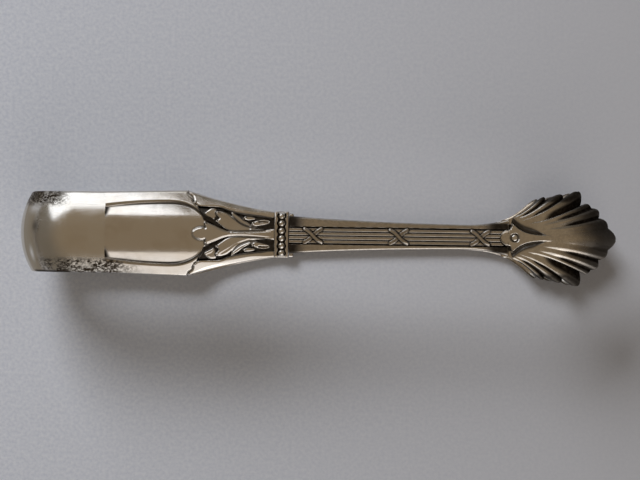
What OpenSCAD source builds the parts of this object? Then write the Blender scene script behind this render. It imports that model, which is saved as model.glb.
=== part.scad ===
// Sugar tongs: a sprung bow with two struck arms that end in leaf claws.
// The tongs lie on the lower arm. X runs from the bow to the claw tips,
// Y across the arms, Z up. The origin is under the middle, on the table.

/* [Bow] */
// Distance between the outer faces of the two arms
arm_span = 25; // [22:0.5:30]
// Thickness of the bow and shoulder sheet
sheet = 1.2; // [1:0.05:1.5]
// Radius of the crowned outer face, across the strip
crown_radius = 14.6; // [12:0.1:20]
// Width of the bow strip
bow_width = 15.5; // [13:0.1:17]
// Straight stretch at the bow's outer end, between its two quarter bends
bow_flat = 1; // [0.4:0.1:4]
// Straight leg of the bow, from its bend to the seam
bow_leg = 5.7; // [4:0.1:9]
// Length of the soldered half lap under the shoulder
lap_length = 4; // [2:0.1:6]
// Thickness of the tongue of the half lap
lap_thickness = 0.45; // [0.3:0.05:0.5]

/* [Shoulder] */
// Length from the seam to the collar
shoulder_length = 32.1; // [28:0.1:40]
// Distance from the seam to the shoulder's widest place
corner_distance = 15.6; // [12:0.1:17]
// Width at the widest place
shoulder_width = 16.3; // [14:0.1:17.5]
// Width at the collar
neck_width = 8.6; // [8:0.1:10]
// Thickness at the collar, where the back turns flat
neck_thickness = 1.9; // [1.8:0.05:2.4]
// Length of the panel from the seam to the point of its arch
panel_length = 20.6; // [17:0.1:23]
// Width of the panel at the seam
panel_width = 9.5; // [8:0.1:11]
// Width of the panel at its widest
panel_belly = 11.5; // [9:0.1:12]
// Radius of the panel's own crown
panel_radius = 10.4; // [9:0.1:12]
// Depth of the panel below the crown at its middle
panel_drop = 0.06; // [0.04:0.01:0.15]
// Width of the thin ledge round the panel
ledge_width = 0.45; // [0.2:0.05:0.7]
// Depth of that ledge below the border
ledge_depth = 0.14; // [0.1:0.02:0.2]

/* [Leaf spray] */
// Length of the spray from the collar to the tip of the middle leaf
spray_length = 15.6; // [13:0.1:17]
// Half width of the spray
spray_half = 4.4; // [4:0.1:5]
// Depth of the ground behind the leaves
ground_depth = 0.55; // [0.4:0.05:0.65]
// How far the leaf tops lie under the crown
leaf_drop = 0.05; // [0.03:0.01:0.2]

/* [Collar] */
// Length of the collar along the arm
collar_length = 2.9; // [2.4:0.1:4]
// Width of the collar
collar_width = 8.8; // [8.2:0.1:10.5]
// Depth of the collar from its crown to its back
collar_depth = 2.3; // [2.1:0.05:3]
// Width of each rim beside the beads
rim_width = 0.5; // [0.3:0.05:0.6]
// Depth of the channel that holds the beads
channel_depth = 0.62; // [0.5:0.02:0.7]
// Number of beads
bead_count = 6; // [4:1:6]
// Diameter of a bead
bead_diameter = 1.24; // [1:0.02:1.3]
// Distance between beads along the crown
bead_pitch = 1.4; // [1.32:0.02:1.5]
// Thickness of the wire that joins the beads
bead_wire = 0.16; // [0.1:0.02:0.3]
// Width of the tenons that meet inside the collar
tenon_width = 4.8; // [3:0.1:6]
// Thickness of the tenons
tenon_thickness = 0.6; // [0.4:0.05:0.7]
// Depth of the tenons under the crown
tenon_depth = 0.95; // [0.9:0.05:1]

/* [Stem] */
// Length from the collar to the base of the claw
stem_length = 41.3; // [34:0.1:50]
// Width beside the collar
stem_width = 7.1; // [6.6:0.1:8]
// Width at the waist
waist_width = 4.7; // [4.4:0.1:6]
// Length over which the stem widens again from its waist to the claw
claw_flare = 9.5; // [7:0.1:12]
// Width at the claw
stem_end_width = 5.8; // [5.2:0.1:6.4]
// Depth of the stem's flat back under the crown
stem_depth = 1.9; // [1.8:0.05:2.2]
// Number of reeds
reed_count = 4; // [2:1:4]
// Distance between reeds
reed_pitch = 0.8; // [0.6:0.02:0.84]
// Depth of the reed tops under the crown
reed_drop = 0.35; // [0.25:0.05:0.5]
// Depth of the margins' inner edges under the crown
margin_drop = 0.45; // [0.3:0.05:0.6]
// Fall of the margins for each millimetre outwards
margin_slope = 0.25; // [0.1:0.05:0.35]
// Width of the groove between the reeds and the margins
side_groove = 0.15; // [0.1:0.05:0.3]
// Number of ribbon crossings
crossing_count = 3; // [1:1:3]
// Distance from the collar to the first crossing
first_crossing = 4.8; // [4:0.1:6]
// Distance from the last crossing to the claw
last_crossing = 5.7; // [4:0.1:8]
// Length of a crossing along the stem
crossing_length = 4.2; // [3:0.1:5]
// Width of a crossing
crossing_width = 3.1; // [2.6:0.1:3.4]
// Width of a ribbon
ribbon_width = 0.75; // [0.5:0.05:1]
// Depth of the upper ribbon's top under the crown
ribbon_drop = 0.08; // [0.04:0.02:0.2]

/* [Claw] */
// Length from the base of the claw to its tip
claw_length = 20.8; // [17:0.1:25]
// Width over the widest lobes
claw_width = 18; // [15:0.1:22]
// Fall of the tip below the crown
claw_drop = 4.9; // [4:0.1:6]
// Further fall where the rim curls inwards
tip_curl = 0.4; // [0:0.05:0.8]
// Thickness of the leaf
claw_thickness = 0.9; // [0.75:0.05:1]
// Radius of the leaf across its width
claw_radius = 20; // [17:0.5:40]
// Depth of the leaf's middle under the calyx
leaf_crest = 0.3; // [0.2:0.05:0.4]
// Depth of the valleys between lobes
valley_depth = 0.7; // [0.3:0.05:0.7]
// Radius of the round tongue on the stem
tongue_radius = 1.55; // [1.3:0.05:1.8]
// How far the tongue reaches over the stem
tongue_lead = 1.5; // [1:0.1:2]
// How far the leaf starts behind the calyx's back edge
root_inset = 0.3; // [0.2:0.05:0.6]
// Length of the calyx from the claw's base to its point
calyx_length = 9.6; // [7:0.1:11]

/* [Rivet] */
// Diameter of the rivet's shank
rivet_diameter = 0.9; // [0.6:0.05:1]
// Diameter of the domed head in its dimple
rivet_head = 1.2; // [1.1:0.05:1.4]
// Distance from the claw's base to the rivet
rivet_distance = 1.25; // [1:0.05:1.6]
// Diameter of the dimple round the head
dimple_diameter = 1.8; // [1.6:0.05:2]
// Depth of the dimple
dimple_depth = 0.35; // [0.25:0.05:0.4]
// Diameter of the hammered end at the back
tail_diameter = 1.6; // [1.4:0.05:2]
// Height of the hammered end
tail_height = 0.35; // [0.2:0.05:0.5]

/* [Fits] */
// Gap that the solder fills between joined pieces
solder_gap = 0.05; // [0.03:0.01:0.08]
// Radial clearance of the rivet in its holes
rivet_clearance = 0.03; // [0.02:0.01:0.05]

/* [Hidden] */
$fn = 96;

silver = [0.78, 0.74, 0.68];
worn_silver = [0.70, 0.66, 0.60];
bright_silver = [0.86, 0.84, 0.80];

// Stations along the arm, counted from the outer end of the bow
bend_radius = (arm_span - bow_flat) / 2;
bend = bend_radius;
seam = bend + bow_leg;
neck = seam + shoulder_length;
collar_middle = neck + collar_length / 2;
collar_end = neck + collar_length;
claw_base = collar_end + stem_length;
overall_length = claw_base + claw_length;

// Room beyond any surface, so that cutting tools reach past it
past = 5;
// Steps along each curve of an outline
curve_steps = 10;

// Where the lap splits the sheet
lap_split = sheet - lap_thickness - solder_gap;
corner = seam + corner_distance;
channel_floor = crown_radius - channel_depth;
// How far tenons and tails are rooted in their own piece
root_length = tenon_thickness * 1.5;
waist = claw_base - claw_flare;
crossing_pitch = (stem_length - first_crossing - last_crossing) / max(1, crossing_count - 1);
reed_radius = reed_pitch / 2;
reed_band = reed_count * reed_pitch / 2;
groove_floor = reed_drop + reed_radius;
// The stem's tail lies under the claw's pad, and the rivet holds both
tail_top = (groove_floor + stem_depth) / 2 - solder_gap;
pad_bottom = tail_top - solder_gap;
tail_length = rivet_distance + tail_diameter;
tail_half = tail_diameter * 0.8;
rivet_station = claw_base + rivet_distance;
leaf_root = claw_base + root_inset;
// The calyx reaches down into the leaf, below its valleys and above its inner face
calyx_depth = leaf_crest + (valley_depth + claw_thickness) / 2;

// A point on a curve with one control point
function bend2(a, b, c, t) = a * (1 - t) * (1 - t) + b * 2 * t * (1 - t) + c * t * t;
// A point on a curve with two control points
function bend3(a, b, c, d, t) = bend2(a, b, c, t) * (1 - t) + bend2(b, c, d, t) * t;
function steps(count) = [for (i = [0:count]) i / count];
// An outline from one edge, closed by the same edge on the other side of the middle
function both_edges(edge) = concat(edge, [for (i = [len(edge) - 1:-1:0]) [edge[i][0], -edge[i][1]]]);

// Frame of an arm: stations along X, height zero on the crown, positive outwards
module upper() { translate([-overall_length / 2, 0, arm_span]) children(); }
module lower() { translate([-overall_length / 2, 0, 0]) mirror([0, 0, 1]) children(); }

// Round bar along the arm whose top lies a given depth under the crown
module crown_bar(from, to, radius, depth = 0) {
    translate([from, 0, -depth - radius]) rotate([0, 90, 0]) cylinder(r = radius, h = to - from);
}

// Upright prism over an outline, reaching from a depth under the crown to past it
module prism(depth) { translate([0, 0, -depth]) linear_extrude(depth + past) children(); }

// Bow

module bow_section(inner, outer) {
    intersection() {
        translate([bend_radius - crown_radius, 0])
            difference() {
                circle(r = crown_radius - outer);
                circle(r = crown_radius - inner);
            }
        translate([0, -bow_width / 2]) square([bend_radius + past, bow_width]);
    }
}

module bow_leg_strip(from, to, inner, outer) {
    translate([from, 0, -bend_radius]) rotate([90, 0, 90]) linear_extrude(to - from)
        rotate(90) bow_section(inner, outer);
}

module bow_end() {
    translate([bend, 0, -bend_radius - bow_flat]) linear_extrude(bow_flat)
        rotate(180) bow_section(sheet, 0);
}

module bow_bend() {
    translate([bend, 0, -bend_radius]) rotate([90, 0, 0]) rotate([0, 0, 90])
        rotate_extrude(angle = 90) bow_section(sheet, 0);
}

module bow_half() {
    bow_bend();
    bow_leg_strip(bend, seam, sheet, 0);
    bow_leg_strip(seam - past / 2, seam + lap_length, sheet, lap_split + solder_gap);
}

module bow() color(silver) {
    upper() bow_end();
    upper() bow_half();
    lower() bow_half();
}

// Shoulder

function shoulder_edge() = concat(
    [[seam, bow_width / 2]],
    [for (t = steps(curve_steps))
        bend2([corner, shoulder_width / 2],
            [corner + (neck - corner) * 0.48, neck_width / 2 + (shoulder_width - neck_width) * 0.16],
            [neck, neck_width / 2], t)]);

// The panel's edge, grown sideways and lengthways by the ledge. Its sides swell to the belly
// and close in a round arch, with the bends given as shares of the panel's length and belly
function panel_edge(grow) = let(
    belly = [seam + panel_length * 0.59, panel_belly / 2 + grow],
    tip = [seam + panel_length + grow, 0])
    concat(
        [[seam - past, panel_width / 2 + grow]],
        [for (t = steps(curve_steps))
            bend2([seam, panel_width / 2 + grow], [seam + panel_length * 0.3, belly[1]], belly, t)],
        [for (t = steps(curve_steps)) if (t > 0)
            bend3(belly, [seam + panel_length * 0.8, belly[1]],
                [seam + panel_length * 0.92, belly[1] * 0.62], tip, t)]);

// The sunk ground, from the panel's arch to the collar, as shares of the spray's size
function ground_edge() = [for (t = steps(curve_steps))
    bend3([neck - spray_length * 0.93, spray_half * 1.1], [neck - spray_length * 0.62, spray_half * 1.25],
        [neck - spray_length * 0.4, spray_half * 0.6], [neck, spray_half * 0.62], t)];

// Leaves of the spray: base, bend and tip as shares of its length (back from the collar)
// and of its half width, then the half width of the leaf as a share of the spray's
LEAVES = [
    [[0.44, 0.00], [0.70, 0.00], [1.00, 0.00], 0.28],
    [[0.00, 0.00], [0.30, 0.00], [0.66, 0.00], 0.15],
    [[0.42, 0.08], [0.62, 0.20], [0.83, 0.40], 0.17],
    [[0.12, 0.12], [0.45, 0.30], [0.69, 0.53], 0.18],
    [[0.12, 0.16], [0.48, 0.60], [0.71, 0.88], 0.21],
    [[0.14, 0.24], [0.36, 0.46], [0.52, 0.92], 0.14],
    [[0.03, 0.46], [0.12, 0.52], [0.22, 0.50], 0.10],
    [[0.66, 0.92], [0.74, 0.90], [0.82, 0.88], 0.20],
];

// A leaf is narrow at its base, widest at three quarters and round at its tip
function leaf_share(t) = t < 0.75
    ? 0.4 + 0.6 * sin(90 * t / 0.75)
    : sqrt(max(0, 1 - pow((t - 0.75) / 0.25, 2)));
function leaf_point(leaf, t) = let(p = bend2(leaf[0], leaf[1], leaf[2], t))
    [neck - spray_length * p[0], spray_half * p[1]];
function leaf_side(leaf, t, side) = let(
    a = leaf_point(leaf, t - 0.01),
    b = leaf_point(leaf, t + 0.01),
    along = (b - a) / norm(b - a))
    leaf_point(leaf, t) + [-along[1], along[0]] * side * leaf[3] * spray_half * leaf_share(t);

module leaf_outline(leaf) {
    polygon(concat(
        [for (t = steps(curve_steps)) leaf_side(leaf, t, 1)],
        [for (t = steps(curve_steps)) if (t > 0 && t < 1) leaf_side(leaf, 1 - t, -1)]));
}

module spray_outline() {
    for (leaf = LEAVES) {
        leaf_outline(leaf);
        if (leaf[1][1] > 0) mirror([0, 1]) leaf_outline(leaf);
    }
}

// The hollow back, which runs out where the neck turns thick and flat
module shoulder_hollow() {
    intersection() {
        crown_bar(seam + lap_length, neck, crown_radius - sheet, sheet);
        rotate([90, 0, 0]) linear_extrude(2 * shoulder_width, center = true)
            polygon([[seam, -past * 2], [seam, -sheet], [corner, -sheet],
                [neck, -neck_thickness], [neck, -past * 2]]);
    }
}

module shoulder_blank() {
    edge_sag = crown_radius - sqrt(pow(crown_radius, 2) - pow(shoulder_width / 2, 2));
    difference() {
        intersection() {
            crown_bar(seam, neck, crown_radius);
            prism(neck_thickness + edge_sag) polygon(both_edges(shoulder_edge()));
        }
        crown_bar(seam - past, seam + lap_length + solder_gap, crown_radius - lap_split, lap_split);
        shoulder_hollow();
    }
}

// What is cut away over an outline, down to a round floor that lies a depth under the crown
module sunk(depth, radius) {
    difference() {
        prism(ground_depth * 3) children();
        crown_bar(seam - past, neck + past, radius, depth);
    }
}

module shoulder() color(silver) {
    difference() {
        shoulder_blank();
        sunk(ledge_depth, crown_radius - ledge_depth) polygon(both_edges(panel_edge(ledge_width)));
        sunk(panel_drop, panel_radius) polygon(both_edges(panel_edge(0)));
        sunk(ground_depth, crown_radius - ground_depth) polygon(both_edges(ground_edge()));
    }
    intersection() {
        crown_bar(seam, neck, crown_radius - leaf_drop, leaf_drop);
        prism(ground_depth * 2) spray_outline();
    }
    tenon(neck - root_length, collar_middle - solder_gap / 2, 0);
}

// Collar

module tenon(from, to, grow) {
    translate([from, -tenon_width / 2 - grow, -tenon_depth - tenon_thickness - grow])
        cube([to - from, tenon_width + 2 * grow, tenon_thickness + 2 * grow]);
}

module collar() color(silver) {
    difference() {
        intersection() {
            crown_bar(neck + solder_gap, collar_end - solder_gap, crown_radius);
            translate([neck, -collar_width / 2, -collar_depth])
                cube([collar_length, collar_width, collar_depth + past]);
        }
        difference() {
            translate([neck + rim_width, -collar_width, -channel_depth * 4])
                cube([collar_length - 2 * rim_width, 2 * collar_width, channel_depth * 4 + past]);
            crown_bar(neck, collar_end, channel_floor, channel_depth);
        }
        tenon(neck - past, collar_end + past, solder_gap);
    }
}

// Half-round beads in a row over the crown, joined by a thin wire under them
module beads() color(bright_silver) {
    row = (bead_count - 1) * bead_pitch;
    wire_top = channel_floor + bead_wire + solder_gap;
    difference() {
        translate([collar_middle, 0, -crown_radius]) {
            for (i = [0:bead_count - 1])
                rotate([(i - (bead_count - 1) / 2) * bead_pitch / channel_floor * 180 / PI, 0, 0])
                    translate([0, 0, channel_floor]) sphere(d = bead_diameter, $fn = 32);
            intersection() {
                rotate([0, 90, 0]) cylinder(r = wire_top, h = bead_diameter * 0.7, center = true);
                translate([-bead_diameter, -row / 2, 0]) cube([2 * bead_diameter, row, crown_radius]);
            }
        }
        crown_bar(neck, collar_end, channel_floor + solder_gap, channel_depth - solder_gap);
    }
}

// Stem

function stem_edge() = concat(
    [for (t = steps(curve_steps))
        bend2([collar_end, stem_width / 2], [collar_end + (waist - collar_end) * 0.44, waist_width * 0.55],
            [waist, waist_width / 2], t)],
    [for (t = steps(curve_steps)) if (t > 0)
        bend2([waist, waist_width / 2], [(waist + claw_base) / 2, waist_width * 0.485],
            [claw_base - solder_gap, stem_end_width / 2], t)]);

module stem_section() {
    half = stem_width;
    inner = reed_band + side_groove;
    polygon([[-half, -stem_depth], [half, -stem_depth],
        [half, -margin_drop - (half - inner) * margin_slope], [inner, -margin_drop],
        [reed_band, -groove_floor], [-reed_band, -groove_floor],
        [-inner, -margin_drop], [-half, -margin_drop - (half - inner) * margin_slope]]);
    for (i = [0:reed_count - 1])
        translate([(i - (reed_count - 1) / 2) * reed_pitch, -groove_floor]) circle(r = reed_radius);
}

module ribbon(slope, top) {
    reach = norm([crossing_length, crossing_width]) - ribbon_width;
    translate([0, 0, -groove_floor]) linear_extrude(groove_floor - top)
        rotate(slope * atan(crossing_width / crossing_length)) {
            square([reach, ribbon_width], center = true);
            for (side = [-1, 1]) translate([side * reach / 2, 0]) circle(d = ribbon_width);
        }
}

module stem() color(silver) {
    difference() {
        union() {
            intersection() {
                translate([collar_end, 0, 0]) rotate([90, 0, 90]) linear_extrude(stem_length) stem_section();
                translate([0, 0, -past]) linear_extrude(past * 2) polygon(both_edges(stem_edge()));
            }
            for (i = [0:crossing_count - 1])
                translate([collar_end + first_crossing + i * crossing_pitch, 0, 0]) {
                    ribbon(1, (reed_drop + ribbon_drop) / 2);
                    ribbon(-1, ribbon_drop);
                }
        }
        translate([claw_base - tongue_lead + tongue_radius, 0, -tail_top])
            cylinder(r = tongue_radius + solder_gap, h = past);
    }
    tenon(collar_middle + solder_gap / 2, collar_end + root_length, 0);
    difference() {
        translate([0, 0, -stem_depth]) linear_extrude(stem_depth - tail_top) {
            translate([claw_base - root_length, -tail_half])
                square([root_length + tail_length - tail_half, 2 * tail_half]);
            translate([claw_base + tail_length - tail_half, 0]) circle(r = tail_half);
        }
        rivet_hole();
    }
}

// Claw

// Lobes of half the leaf, from the tip outwards: the crest of each lobe and the notch after it,
// as shares of the claw's length from its base and of its half width, then how much of the full
// valley depth runs into that notch
LOBES = [
    [[1.000, 0.00], [0.924, 0.23], 0.5],
    [[0.900, 0.38], [0.833, 0.44], 0.8],
    [[0.830, 0.60], [0.765, 0.65], 0.5],
    [[0.724, 0.74], [0.661, 0.69], 1.0],
    [[0.648, 1.00], [0.500, 0.84], 1.0],
    [[0.465, 0.93], [0.333, 0.80], 0.6],
    [[0.317, 0.87], [0.248, 0.77], 0.3],
];
lobe_count = len(LOBES);
// Grid of the leaf: steps across half a lobe, and from the base to the rim
lobe_steps = 2;
rim_steps = 11;
across_steps = (2 * lobe_count - 1) * lobe_steps;

// Place across the leaf as a lobe's number and the share of the way across it:
// the middle lobe counts for half on each side
function lobe_of(w) = min(lobe_count - 1, floor(w + 0.5));
function share_of(w) = w + 0.5 - lobe_of(w);

// The rim: each lobe bends from the notch before it, through its crest, to the notch after it
function rim_point(w) = let(
    k = lobe_of(w),
    after = LOBES[k][1],
    before = k == 0 ? [after[0], -after[1]] : LOBES[k - 1][1],
    crest = LOBES[k][0])
    bend2(before, 2 * crest - (before + after) / 2, after, share_of(w));

// A line of the leaf runs from the base straight ahead and then out to its rim point
function line_point(w, t) = let(
    base = [0, stem_end_width / claw_width * w / (lobe_count - 0.5)],
    rim = rim_point(w))
    bend2(base, [(base[0] + rim[0]) / 2, base[1] + (rim[1] - base[1]) * 0.25], rim, t);

// Height of the leaf's crest line at a share of its length, level near the base and falling to the tip
crest_share = 0.3;
function crest_height(u) = -leaf_crest
    - (claw_drop - leaf_crest) * pow(max(0, u - crest_share) / (1 - crest_share), 2);
// The leaf is thin at its root, over the pad, and full from a third of the way
function leaf_thickness(t) = claw_thickness * (0.6 + 0.4 * min(1, t * 3));
// Lobes are domed across, flat at the base and full from half way
function lobe_dome(w, t) = let(
    k = lobe_of(w),
    share = share_of(w),
    before = LOBES[max(0, k - 1)][2],
    valley = before + (LOBES[k][2] - before) * share)
    valley_depth * valley * min(1, max(0, t - 0.1) / 0.45) * (1 - sin(180 * share));
// The rim curls inwards over the last fifth of each line
function rim_curl(t) = tip_curl * pow(max(0, t - 0.8) / 0.2, 2);
function leaf_height(w, t, p) = let(y = p[1] * claw_width / 2)
    crest_height(p[0]) - y * y / (2 * claw_radius) - lobe_dome(w, t) - rim_curl(t);

// A grid point on the outer face; negative steps are the other half of the leaf
function leaf_grid(i, j) = let(
    w = abs(i) * (lobe_count - 0.5) / across_steps,
    t = j / rim_steps,
    p = line_point(w, t))
    [leaf_root + p[0] * (overall_length - leaf_root), sign(i) * p[1] * claw_width / 2, leaf_height(w, t, p)];

module leaf_shell() {
    row = rim_steps + 1;
    count = (2 * across_steps + 1) * row;
    outer = [for (i = [-across_steps:across_steps]) for (j = [0:rim_steps]) leaf_grid(i, j)];
    inner = [for (i = [-across_steps:across_steps]) for (j = [0:rim_steps])
        leaf_grid(i, j) - [0, 0, leaf_thickness(j / rim_steps)]];
    cells = [for (i = [0:2 * across_steps - 1]) for (j = [0:rim_steps - 1]) i * row + j];
    last = 2 * across_steps * row;
    edge = concat(
        [for (j = [0:rim_steps - 1]) [j, j + 1]],
        [for (i = [0:2 * across_steps - 1]) [i * row + rim_steps, (i + 1) * row + rim_steps]],
        [for (j = [rim_steps:-1:1]) [last + j, last + j - 1]],
        [for (i = [2 * across_steps:-1:1]) [i * row, (i - 1) * row]]);
    polyhedron(concat(outer, inner), concat(
        [for (c = cells) each [[c, c + row, c + 1], [c + 1, c + row, c + row + 1]]],
        [for (c = cells) each [[count + c, count + c + 1, count + c + row],
            [count + c + 1, count + c + row + 1, count + c + row]]],
        [for (e = edge) each [[e[0], e[1], count + e[0]], [e[1], count + e[1], count + e[0]]]]));
}

// The calyx: full width at the base, drawn in along two crescents to a point on the leaf
function calyx_edge() = concat(
    [[claw_base, stem_end_width / 2 - solder_gap]],
    [for (t = steps(curve_steps))
        bend2([claw_base + calyx_length * 0.1, stem_end_width / 2 - solder_gap],
            [claw_base + calyx_length * 0.42, stem_end_width * 0.12], [claw_base + calyx_length, 0], t)]);

module tongue_outline() {
    translate([claw_base - tongue_lead + tongue_radius, 0]) circle(r = tongue_radius);
}

module rivet_hole() {
    translate([rivet_station, 0, -past])
        cylinder(d = rivet_diameter + 2 * rivet_clearance, h = past * 2, $fn = 48);
}

module claw() color(worn_silver) {
    difference() {
        union() {
            leaf_shell();
            translate([0, 0, -calyx_depth]) linear_extrude(calyx_depth) polygon(both_edges(calyx_edge()));
            translate([0, 0, -pad_bottom]) linear_extrude(pad_bottom) {
                tongue_outline();
                translate([claw_base, -tail_half]) square([tail_length, 2 * tail_half]);
            }
        }
        rivet_hole();
        translate([rivet_station, 0, -dimple_depth]) cylinder(d = dimple_diameter, h = past, $fn = 48);
    }
}

// Rivet

module rivet() color(bright_silver) {
    seat = solder_gap - dimple_depth;
    head_height = dimple_depth - 2 * solder_gap;
    dome_radius = (pow(rivet_head / 2, 2) + pow(head_height, 2)) / (2 * head_height);
    tail_end = -stem_depth - tail_height;
    translate([rivet_station, 0, 0]) {
        intersection() {
            translate([0, 0, -solder_gap - dome_radius]) sphere(r = dome_radius, $fn = 64);
            translate([0, 0, seat]) cylinder(r = rivet_head, h = past, $fn = 48);
        }
        translate([0, 0, tail_end]) cylinder(d = rivet_diameter, h = seat + solder_gap - tail_end, $fn = 48);
        translate([0, 0, tail_end]) cylinder(d = tail_diameter, h = tail_height - solder_gap, $fn = 48);
    }
}

bow();
upper() shoulder();  // upper_shoulder
upper() collar();  // upper_collar
upper() beads();  // upper_beads
upper() stem();  // upper_stem
upper() claw();  // upper_claw
upper() rivet();  // upper_rivet
lower() shoulder();  // lower_shoulder
lower() collar();  // lower_collar
lower() beads();  // lower_beads
lower() stem();  // lower_stem
lower() claw();  // lower_claw
lower() rivet();  // lower_rivet
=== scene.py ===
# %% [markdown]
# # A pair of silver sugar tongs
# The tongs are one bow of sheet silver, which is the spring, and two arms. Each arm is a shoulder plate with a leaf
# spray, a collar with a row of beads, a reeded stem with crossed ribbons, and a leaf-shaped claw held by one rivet.
# The tongs lie on the lower arm, and the upper arm is its mirror image. The measured solids are loaded first, because
# every piece below is fitted to them and rides on their bodies.

# %% Load the measured solids
import math

import bpy
import numpy as np
from mathutils import Matrix, Quaternion, Vector


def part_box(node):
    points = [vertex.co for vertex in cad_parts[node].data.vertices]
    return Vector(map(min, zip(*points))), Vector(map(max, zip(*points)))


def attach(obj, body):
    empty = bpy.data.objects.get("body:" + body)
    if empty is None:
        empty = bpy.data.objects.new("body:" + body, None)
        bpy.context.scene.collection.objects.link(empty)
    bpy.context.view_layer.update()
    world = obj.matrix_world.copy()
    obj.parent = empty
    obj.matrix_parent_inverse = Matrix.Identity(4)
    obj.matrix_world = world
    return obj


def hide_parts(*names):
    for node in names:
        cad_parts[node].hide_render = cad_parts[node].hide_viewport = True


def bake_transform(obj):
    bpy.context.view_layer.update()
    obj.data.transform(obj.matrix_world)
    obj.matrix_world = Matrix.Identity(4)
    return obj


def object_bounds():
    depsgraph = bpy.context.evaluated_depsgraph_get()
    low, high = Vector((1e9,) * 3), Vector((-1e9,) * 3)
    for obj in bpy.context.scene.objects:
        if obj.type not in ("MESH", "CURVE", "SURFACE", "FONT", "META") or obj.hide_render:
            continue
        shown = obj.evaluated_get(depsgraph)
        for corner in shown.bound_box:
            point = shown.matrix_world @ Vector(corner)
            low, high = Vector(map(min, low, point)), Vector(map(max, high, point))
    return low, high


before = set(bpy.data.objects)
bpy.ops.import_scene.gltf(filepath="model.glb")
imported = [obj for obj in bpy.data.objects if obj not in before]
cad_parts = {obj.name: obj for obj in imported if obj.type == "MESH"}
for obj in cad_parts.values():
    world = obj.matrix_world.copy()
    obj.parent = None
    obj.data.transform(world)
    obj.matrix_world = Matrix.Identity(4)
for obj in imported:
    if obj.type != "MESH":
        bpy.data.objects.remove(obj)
cad_low, cad_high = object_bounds()
MM = 0.001  # lengths below are in mm, and a place in metres is that times MM
SPAN = (cad_high.z - cad_low.z) / MM


def station(node, end):
    """How far a solid's near end (0) or far end (1) is from the end of the bow, in mm."""
    return (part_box(node)[end].x - cad_low.x) / MM


SEAM = station("lower_shoulder", 0)
LAP_END = SEAM + 4.0
COLLAR = (station("lower_collar", 0), station("lower_collar", 1))
NECK = COLLAR[0] - 0.05
CLAW_START, LENGTH = station("lower_claw", 0), station("lower_claw", 1)
BOW_FLAT = 1.0
BEND = (SPAN - BOW_FLAT) / 2
print(f"frame {LENGTH:.1f} by {SPAN:.1f} mm, seam {SEAM:.2f}, neck {NECK:.2f}, collar {COLLAR[0]:.2f} to"
      f" {COLLAR[1]:.2f}, claw from {CLAW_START:.2f}")


# %% [markdown]
# ## How struck silver is modelled here
# Such tongs are struck between steel dies, so each plate is a thin sheet with one crisp face and a plain back.
# Sculpting would do, but it can't be repeated, and a carved bump map has no real edges. So a plain grid is added,
# its points are pressed to the height that the die would give, and a second grid closes the back. The two are joined,
# bridged along their long sides and filled at their ends, which is a closed shell, as the real plate is.

# %% Helpers to press a sheet
def nothing_selected():
    """Leaves edit mode and selects nothing, because an operator acts on all that is selected."""
    if bpy.context.mode != "OBJECT":
        bpy.ops.object.mode_set(mode="OBJECT")
    bpy.ops.object.select_all(action="DESELECT")


def ease(low, high, value):
    """0 below low, 1 above high and a smooth rise between them."""
    share = np.clip((value - low) / (high - low), 0.0, 1.0)
    return share * share * (3.0 - 2.0 * share)


def arm_place(along, across, height):
    """A place on the upper arm, from mm along the arm, across it and above its outer face, in metres."""
    return np.stack([along * MM + cad_low.x, across * MM, (SPAN + height) * MM], axis=-1)


def pressed_grid(name, places, layer=0.0, **marks):
    """A grid whose points go to an array of places, with any marks kept as attributes."""
    columns, rows = places.shape[0] - 1, places.shape[1] - 1
    nothing_selected()
    bpy.ops.mesh.primitive_grid_add(x_subdivisions=columns, y_subdivisions=rows, size=1.0)
    grid = bpy.context.object
    grid.name = name
    points = np.empty(3 * len(grid.data.vertices))
    grid.data.vertices.foreach_get("co", points)
    points = points.reshape(-1, 3)
    column = np.rint((points[:, 0] + 0.5) * columns).astype(int)
    row = np.rint((points[:, 1] + 0.5) * rows).astype(int)
    grid.data.vertices.foreach_set("co", places[column, row].ravel())
    marks["side"], marks["end"] = np.zeros(places.shape[:2]), np.zeros(places.shape[:2])
    marks["side"][:, 0], marks["side"][:, -1] = -1.0, 1.0
    marks["end"][0, :], marks["end"][-1, :] = -1.0, 1.0
    marks["layer"] = np.full(places.shape[:2], layer)
    for mark, values in marks.items():
        attribute = grid.data.attributes.new(mark, "FLOAT", "POINT")
        attribute.data.foreach_set("value", values[column, row].astype(np.float32))
    grid.data.update()
    return grid


print("helpers to press a sheet ready")

# %% [markdown]
# ## From two sheets to one plate
# A struck plate has no open edge. The pressed face and its back become one mesh, the borders between them are bridged,
# and any hole that is left is filled. Solidify would give a back of even thickness, but here the backs are plainer
# than the faces. The lower arm is the upper arm seen in a mirror, so each of its pieces is a copy with its own mesh.

# %% Helpers to close a shell
BORDERS = ("side", "end", "layer")


def select_border(piece, border, value):
    """Selects the edges along one border of both sheets in a piece, found by their marks."""
    mesh = piece.data
    ends = np.empty(2 * len(mesh.edges), np.int32)
    mesh.edges.foreach_get("vertices", ends)
    ends = ends.reshape(-1, 2)
    mark = {}
    for name in (border, "layer"):
        mark[name] = np.empty(len(mesh.vertices), np.float32)
        mesh.attributes[name].data.foreach_get("value", mark[name])
    chosen = (mark[border][ends] == value).all(axis=1) & (mark["layer"][ends[:, 0]] == mark["layer"][ends[:, 1]])
    bpy.ops.object.mode_set(mode="EDIT")
    bpy.ops.mesh.select_mode(type="EDGE")
    bpy.ops.mesh.select_all(action="DESELECT")
    bpy.ops.object.mode_set(mode="OBJECT")
    mesh.edges.foreach_set("select", chosen)
    bpy.ops.object.mode_set(mode="EDIT")


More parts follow.
